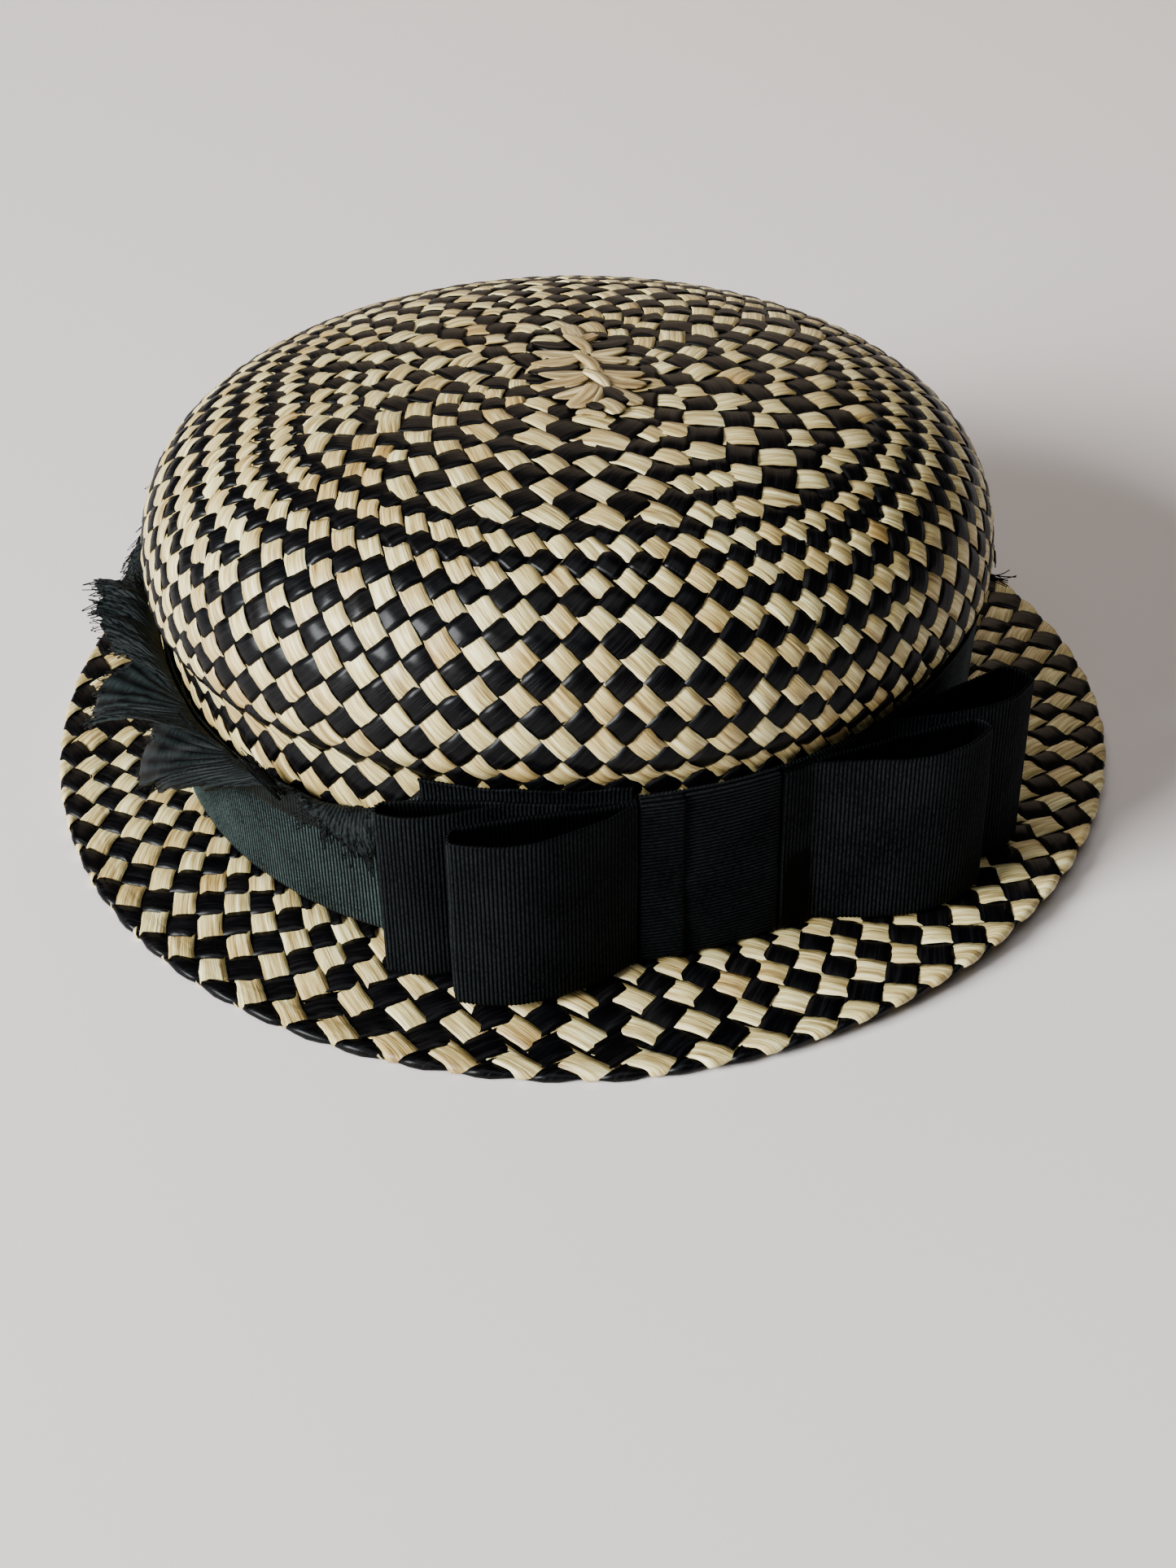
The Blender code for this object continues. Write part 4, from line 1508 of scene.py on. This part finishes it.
            spots = self.band.form.plan(turns, radius)
            grid.append(np.column_stack([spots, path[:, 1] + out[:, 1] * fade]))
            lie.append(ribbon.marks((last - first) * share * self.knot_degree, gone, seed))
        cloth.lay(np.stack(grid, axis=1), np.stack(lie, axis=1))


@dataclass
class GatheredStrip:
    """The frayed strip round the left side and back: a tape, a folded skirt and loose yarn ends.

    Each fold has its root angle, lift above level, share of the width, and sweep of the free edge. Each
    loose tuft has its root's angle and rise over the band in millimetres, its way, length in millimetres,
    number of yarns and how far they spread.
    """

    band: RibbonBand
    folds: tuple[tuple[float, float, float, float], ...] = (
        (246.5, -66.0, 0.16, 0.0), (243.0, -66.0, 0.42, 2.0), (239.5, -64.0, 0.36, 0.0),
        (236.0, -50.0, 0.08, -3.0), (232.0, -62.0, 0.12, -4.0), (227.5, -66.0, 0.52, -9.0),
        (222.0, -58.0, 0.92, -15.0), (219.0, -46.0, 0.16, -15.0), (216.0, -28.0, 0.64, -15.0),
        (210.0, -36.0, 0.92, -13.0), (206.5, -16.0, 0.14, -11.0), (203.0, -4.0, 0.42, -10.0),
        (197.0, 14.0, 0.52, -9.0), (189.0, 22.0, 0.54, -6.0), (181.0, 0.0, 0.28, 0.0),
        (172.0, 0.0, 0.27, 0.0), (162.0, -16.0, 0.36, 2.0), (150.0, 10.0, 0.60, 0.0),
        (138.0, -30.0, 0.80, 2.0), (126.0, 24.0, 0.76, 0.0), (114.0, -28.0, 0.82, -2.0),
        (102.0, 26.0, 0.78, 0.0), (90.0, -26.0, 0.80, 2.0), (78.0, 24.0, 0.76, 0.0),
        (66.0, -28.0, 0.80, -2.0), (54.0, 22.0, 0.70, 0.0), (42.0, -26.0, 0.60, 2.0),
        (30.0, 6.0, 0.36, 0.0), (18.0, -16.0, 0.26, 0.0), (8.0, -40.0, 0.24, 0.0))
    loose: tuple[tuple[float, float, tuple[float, float, float], float, int, float], ...] = (
        (244.5, 0.0, (0.62, -0.42, -0.62), 9.0, 26, 0.3), (241.5, 0.0, (0.66, -0.45, -0.58), 10.0, 26, 0.3),
        (230.5, -0.5, (-0.62, 0.17, 0.80), 13.0, 26, 0.06), (186.0, 4.0, (-0.2, -0.1, 0.95), 6.0, 10, 0.3),
        (0.0, -8.0, (0.9, -0.3, -0.1), 6.0, 14, 0.3))
    width: float = 28.0 * MM
    tape: float = 8.0 * MM
    tape_drop: float = 3.5 * MM
    root_rise: float = 0.9 * MM
    puff: float = 5.0 * MM
    steps: int = 32
    rows: int = 14
    seed: int = 17
    crimp: float = 0.75 * MM
    hemmed: tuple[float, float] = (223.5, 234.5)
    flat: tuple[float, float] = (36.0 * MM, 440.0 * MM)
    tape_share: float = 0.28
    mean_radius: float = 106.0 * MM
    row_pitch: float = 1.6
    yarn_pitch: float = 0.66 * MM
    loop_share: float = 0.6
    clearance: float = 1.3 * MM

    def build(self) -> None:
        """Lay the strip and its fringe."""
        places = np.linspace(0.0, len(self.folds) - 1.0, (len(self.folds) - 1) * self.steps + 1)
        cloth = Cloth()
        grid, lie = self.skirt(places)
        cloth.lay(grid, lie)
        piece = cloth.finish("gathered_strip", FRAYED.build(), STRIP_THICKNESS, 0.0, "frayed_ribbon")
        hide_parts("ruffle")
        roots = [fold[0] for fold in self.folds]
        self.fringe(grid, np.interp(places, np.arange(len(roots)), roots)[::-1])

    def skirt(self, places: np.ndarray) -> tuple[np.ndarray, np.ndarray]:
        """Return the strip's points, and their places on the cloth.

        Args:
            places: Places along the strip, counted in folds.

        Returns:
            The points, rows from the tape to the free edge, and the marks for the finish.
        """
        table = np.array(self.folds)
        first = np.clip(places.astype(int), 0, len(table) - 2)
        share = places - first
        soft = smooth(share)[:, None]
        values = table[first, 1:] + (table[first + 1, 1:] - table[first, 1:]) * soft
        lift, reach, sweep = np.radians(values[:, 0]), values[:, 1], np.radians(values[:, 2])
        angle = np.radians(table[first, 0] + (table[first + 1, 0] - table[first, 0]) * share)
        top = self.band.low + self.band.ribbon.width - self.tape_drop
        root = self.band.top(angle) + self.root_rise
        seat = self.band.inner(angle, root) + 0.9 * MM
        form = self.band.form
        grid, lie = [], []
        gone = np.concatenate([[0.0], np.cumsum(np.abs(np.diff(angle)) * self.mean_radius)])
        fray = 0.06 * wander(gone, 3.0, 0.0035) + 0.05 * wander(gone, 9.0, 0.011)
        for row, out in enumerate(np.linspace(-self.tape_share, 1.0, self.rows + 4)):
            if out < 0.0:
                radius = seat + 0.4 * MM + 0.25 * MM * wander(gone, 5.0, 0.006)
                height = root + out / self.tape_share * self.tape
                turn = angle
            else:
                far = self.width * reach * (1.0 + fray)
                crimp = self.crimp * math.sin(min(out * 1.2, 1.0) * QUARTER_TURN) * (
                    wander(gone, 11.0 + out * 0.5, 0.0062) + 0.5 * wander(gone, 23.0 + out * 0.8, 0.0027))
                puff = self.puff * reach * math.sin(out * math.pi)
                puff = puff + 1.6 * MM * out**2.5 * wander(gone, 31.0, 0.017)
                rise = top - self.tape / 2 - root
                radius = seat + 0.6 * MM + far * np.cos(lift) * out - (crimp + puff) * np.sin(lift)
                height = root + (rise + far * np.sin(lift)) * out + (crimp + puff) * np.cos(lift)
                gather = 0.9 * MM * out * wander(gone, 41.0, 0.008) / self.mean_radius
                turn = angle + sweep * out + gather
            radius = np.maximum(radius, seat + 0.4 * MM)
            height = np.maximum(height, self.floor_height(turn, radius))
            grid.append(np.column_stack([form.plan(turn, radius), height]))
            lie.append(np.column_stack([gone / MM, np.full(len(gone), row * self.row_pitch),
                                        np.full(len(gone), 7.0)]))
        return np.stack(grid)[:, ::-1], np.stack(lie)[:, ::-1]

    def floor_height(self, angle: np.ndarray, radius: np.ndarray) -> np.ndarray:
        """Return the lowest heights that the skirt may have.

        Args:
            angle: Angles round the hat.
            radius: Radii there.

        Returns:
            Just over the brim, or just over the table past it.
        """
        brim = BrimSkin(BrimForm())
        spots = brim.bare(angle, np.clip(radius, brim.form.foot, brim.form.rim - 1.0 * MM))
        return np.where(radius < brim.form.rim, spots[..., 2] + self.clearance, 1.5 * MM)

    def fringe(self, grid: np.ndarray, angles: np.ndarray) -> None:
        """Lay the yarn ends along the strip's free edge, in tufts, with loops between them.

        Args:
            grid: The strip's points, the free edge last.
            angles: The root angle of each of its columns in degrees.
        """
        rng = np.random.default_rng(self.seed)
        cloth = Cloth()
        edge, inner = grid[-1], grid[-4]
        gone = run_lengths(edge)
        marks = np.arange(0.0, gone[-1], self.yarn_pitch)
        marks = marks + rng.uniform(-0.2, 0.2, len(marks)) * MM
        for mark in np.clip(marks, 0.0, gone[-1]):
            if self.hemmed[0] < np.interp(mark, gone, angles) < self.hemmed[1]:
                continue
            start = read_line(mark, edge, gone)
            out = unit(start - read_line(mark, inner, gone))
            ahead = unit(read_line(mark + 0.5 * MM, edge, gone) - start)
            tuft = float(wander(np.array([mark]), 51.0, 0.008)[0])
            reach = (1.2 + 1.5 * max(tuft, -0.5) + rng.exponential(0.5)) * MM
            if rng.uniform() < self.loop_share:
                self.loop(cloth, start - out * 2.0 * MM, out, ahead, reach + 2.0 * MM, rng)
                continue
            drift = rng.normal(0.0, 0.08, 3) + np.array([0.0, 0.0, -0.10])
            self.strand(cloth, start - out * 2.2 * MM, out, drift, reach + 2.2 * MM, rng)
        for spot, way, reach, count, spread in self.tufts():
            for _ in range(count):
                root = np.array(spot) + rng.normal(0.0, 0.7, 3) * MM
                drift = rng.normal(0.0, spread, 3)
                self.strand(cloth, root, np.array(way), drift, reach * rng.uniform(0.55, 1.1), rng)
        piece = cloth.finish("strip_fringe", FRAYED_YARN.build(), YARN_THICKNESS, 0.0, "frayed_ribbon")
        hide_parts("ruffle")

    def tufts(self) -> tuple[tuple[tuple[float, ...], tuple[float, ...], float, int, float], ...]:
        """Place the loose tufts.

        Returns:
            For each its root, way, length, number of yarns and how far they spread.
        """
        found = []
        for degrees, rise, way, reach, count, spread in self.loose:
            turn = np.radians(np.array([degrees]))
            flat = self.band.form.plan(turn, self.band.seat(turn) + 0.8 * MM)[0]
            spot = (*flat, float(self.band.top(turn)[0]) + rise * MM)
            found.append((spot, way, reach * MM, count, spread))
        return tuple(found)

    @staticmethod
    def loop(cloth: Cloth, start: np.ndarray, way: np.ndarray, ahead: np.ndarray, reach: float,
             rng: np.random.Generator) -> None:
        """Lay one looped yarn, out from the edge and back beside itself.

        Args:
            cloth: Where it goes.
            start: Its root.
            way: Its way out.
            ahead: The way along the edge.
            reach: Its length.
            rng: For its bend.
        """
        turn = np.linspace(0.0, math.pi, 9)
        drop = rng.normal(-0.15, 0.15, 3) * reach
        path = start + np.outer(np.sin(turn) ** 0.7, way * reach + drop)
        path = path - np.outer(np.cos(turn), ahead) * 0.45 * MM
        half = 0.17 * MM
        grid = np.stack([path - half * way, path + half * way], axis=1)
        grid[:, 1] += np.cross(way, ahead) * 0.1 * MM
        lie = np.zeros_like(grid)
        lie[..., 1] = turn[:, None] * reach / MM
        cloth.lay(grid, lie)

    @staticmethod
    def strand(cloth: Cloth, start: np.ndarray, way: np.ndarray, drift: np.ndarray, reach: float,
               rng: np.random.Generator) -> None:
        """Lay one yarn end, a narrow strip that curls.

        Args:
            cloth: Where it goes.
            start: Its root.
            way: Its way there.
            drift: How its way changes to the tip.
            reach: Its length.
            rng: For its width and turn.
        """
        share = np.linspace(0.0, 1.0, 6)
        way = unit(way)
        path = start + reach * (np.outer(share, way) + np.outer(share**2.2, drift))
        side = unit(np.cross(way, rng.normal(0.0, 1.0, 3)))
        half = rng.uniform(0.12, 0.19) * MM * (1.0 - 0.4 * share)
        grid = np.stack([path - np.outer(half, side), path + np.outer(half, side)], axis=1)
        lie = np.zeros_like(grid)
        lie[..., 1] = share[:, None] * reach / MM
        cloth.lay(grid, lie)


@dataclass(frozen=True)
class Lamp:
    """One soft square light: its place, power in watts, side and colour."""

    name: str
    place: tuple[float, float, float]
    power: float
    size: float
    color: tuple[float, float, float]


@dataclass(frozen=True)
class Studio:
    """Floor, light and camera. The camera is where the photograph was taken from."""

    lamps: tuple[Lamp, ...] = (
        Lamp("window", (-2.3, -1.35, 1.35), 305.0, 1.3, (0.96, 0.99, 1.0)),
        Lamp("ceiling", (-0.2, -0.6, 2.6), 25.0, 2.0, (0.97, 0.98, 1.0)),
        Lamp("back_warm", (0.1, 1.7, 0.8), 9.0, 1.4, (1.0, 0.78, 0.56)),
    )
    room_color: tuple[float, float, float, float] = (0.80, 0.84, 0.9, 1.0)
    room_light: float = 0.045
    floor_color: tuple[float, float, float, float] = (0.74, 0.68, 0.66, 1.0)
    aim_height: float = 0.05
    sensor: float = 36.0
    focal_share: float = 2900 / 1927
    down: float = math.radians(90.0 - 36.91)
    roll: float = math.radians(-1.01)
    eye: tuple[float, float, float] = (0.0013, -0.5093, 0.3617)

    def build(self) -> None:
        """Add them all."""
        self.add_floor()
        for lamp in self.lamps:
            self.add_light(lamp)
        world = bpy.data.worlds.new("room_light")
        world.use_nodes = True
        background = world.node_tree.nodes["Background"]
        background.inputs["Color"].default_value = self.room_color
        background.inputs["Strength"].default_value = self.room_light
        bpy.context.scene.world = world
        self.add_camera()

    def add_floor(self) -> None:
        """Add a plain pale floor."""
        bm = bmesh.new()
        bmesh.ops.create_grid(bm, x_segments=1, y_segments=1, size=3.0)
        mesh = bpy.data.meshes.new("floor")
        bm.to_mesh(mesh)
        bm.free()
        nodes = Nodes("pale_floor")
        nodes.shader.inputs["Base Color"].default_value = self.floor_color
        nodes.shader.inputs["Roughness"].default_value = 0.6
        mesh.materials.append(nodes.material)
        floor = bpy.data.objects.new("floor", mesh)
        bpy.context.scene.collection.objects.link(floor)

    def add_light(self, lamp: Lamp) -> None:
        """Add a soft light that faces the hat.

        Args:
            lamp: Its settings.
        """
        data = bpy.data.lights.new(lamp.name, "AREA")
        data.energy = lamp.power
        data.size = lamp.size
        data.color = lamp.color
        light = bpy.data.objects.new(lamp.name, data)
        light.location = lamp.place
        aim = -light.location
        aim.z += self.aim_height
        light.rotation_euler = aim.to_track_quat("-Z", "Y").to_euler()
        bpy.context.scene.collection.objects.link(light)

    def add_camera(self) -> None:
        """Add the camera at the photograph's angle."""
        data = bpy.data.cameras.new("camera")
        data.sensor_width = self.sensor
        data.lens = self.focal_share * self.sensor
        data.clip_start = 0.01
        camera = bpy.data.objects.new("camera", data)
        turn = Matrix.Rotation(self.down, 4, "X") @ Matrix.Rotation(self.roll, 4, "Z")
        camera.matrix_world = Matrix.Translation(self.eye) @ turn
        bpy.context.scene.collection.objects.link(camera)
        bpy.context.scene.camera = camera


def main() -> None:
    """Build the hat."""
    logging.basicConfig(level=logging.INFO, format="%(message)s")
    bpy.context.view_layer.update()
    Studio().build()
    form = CrownForm()
    WovenCrown(form).build()
    CrownSpine(form).build()
    WovenBrim(BrimForm()).build()
    band = RibbonBand(form, Ribbon())
    band.build()
    RibbonBow(band).build()
    GatheredStrip(band).build()


if __name__ == "__main__":
    main()
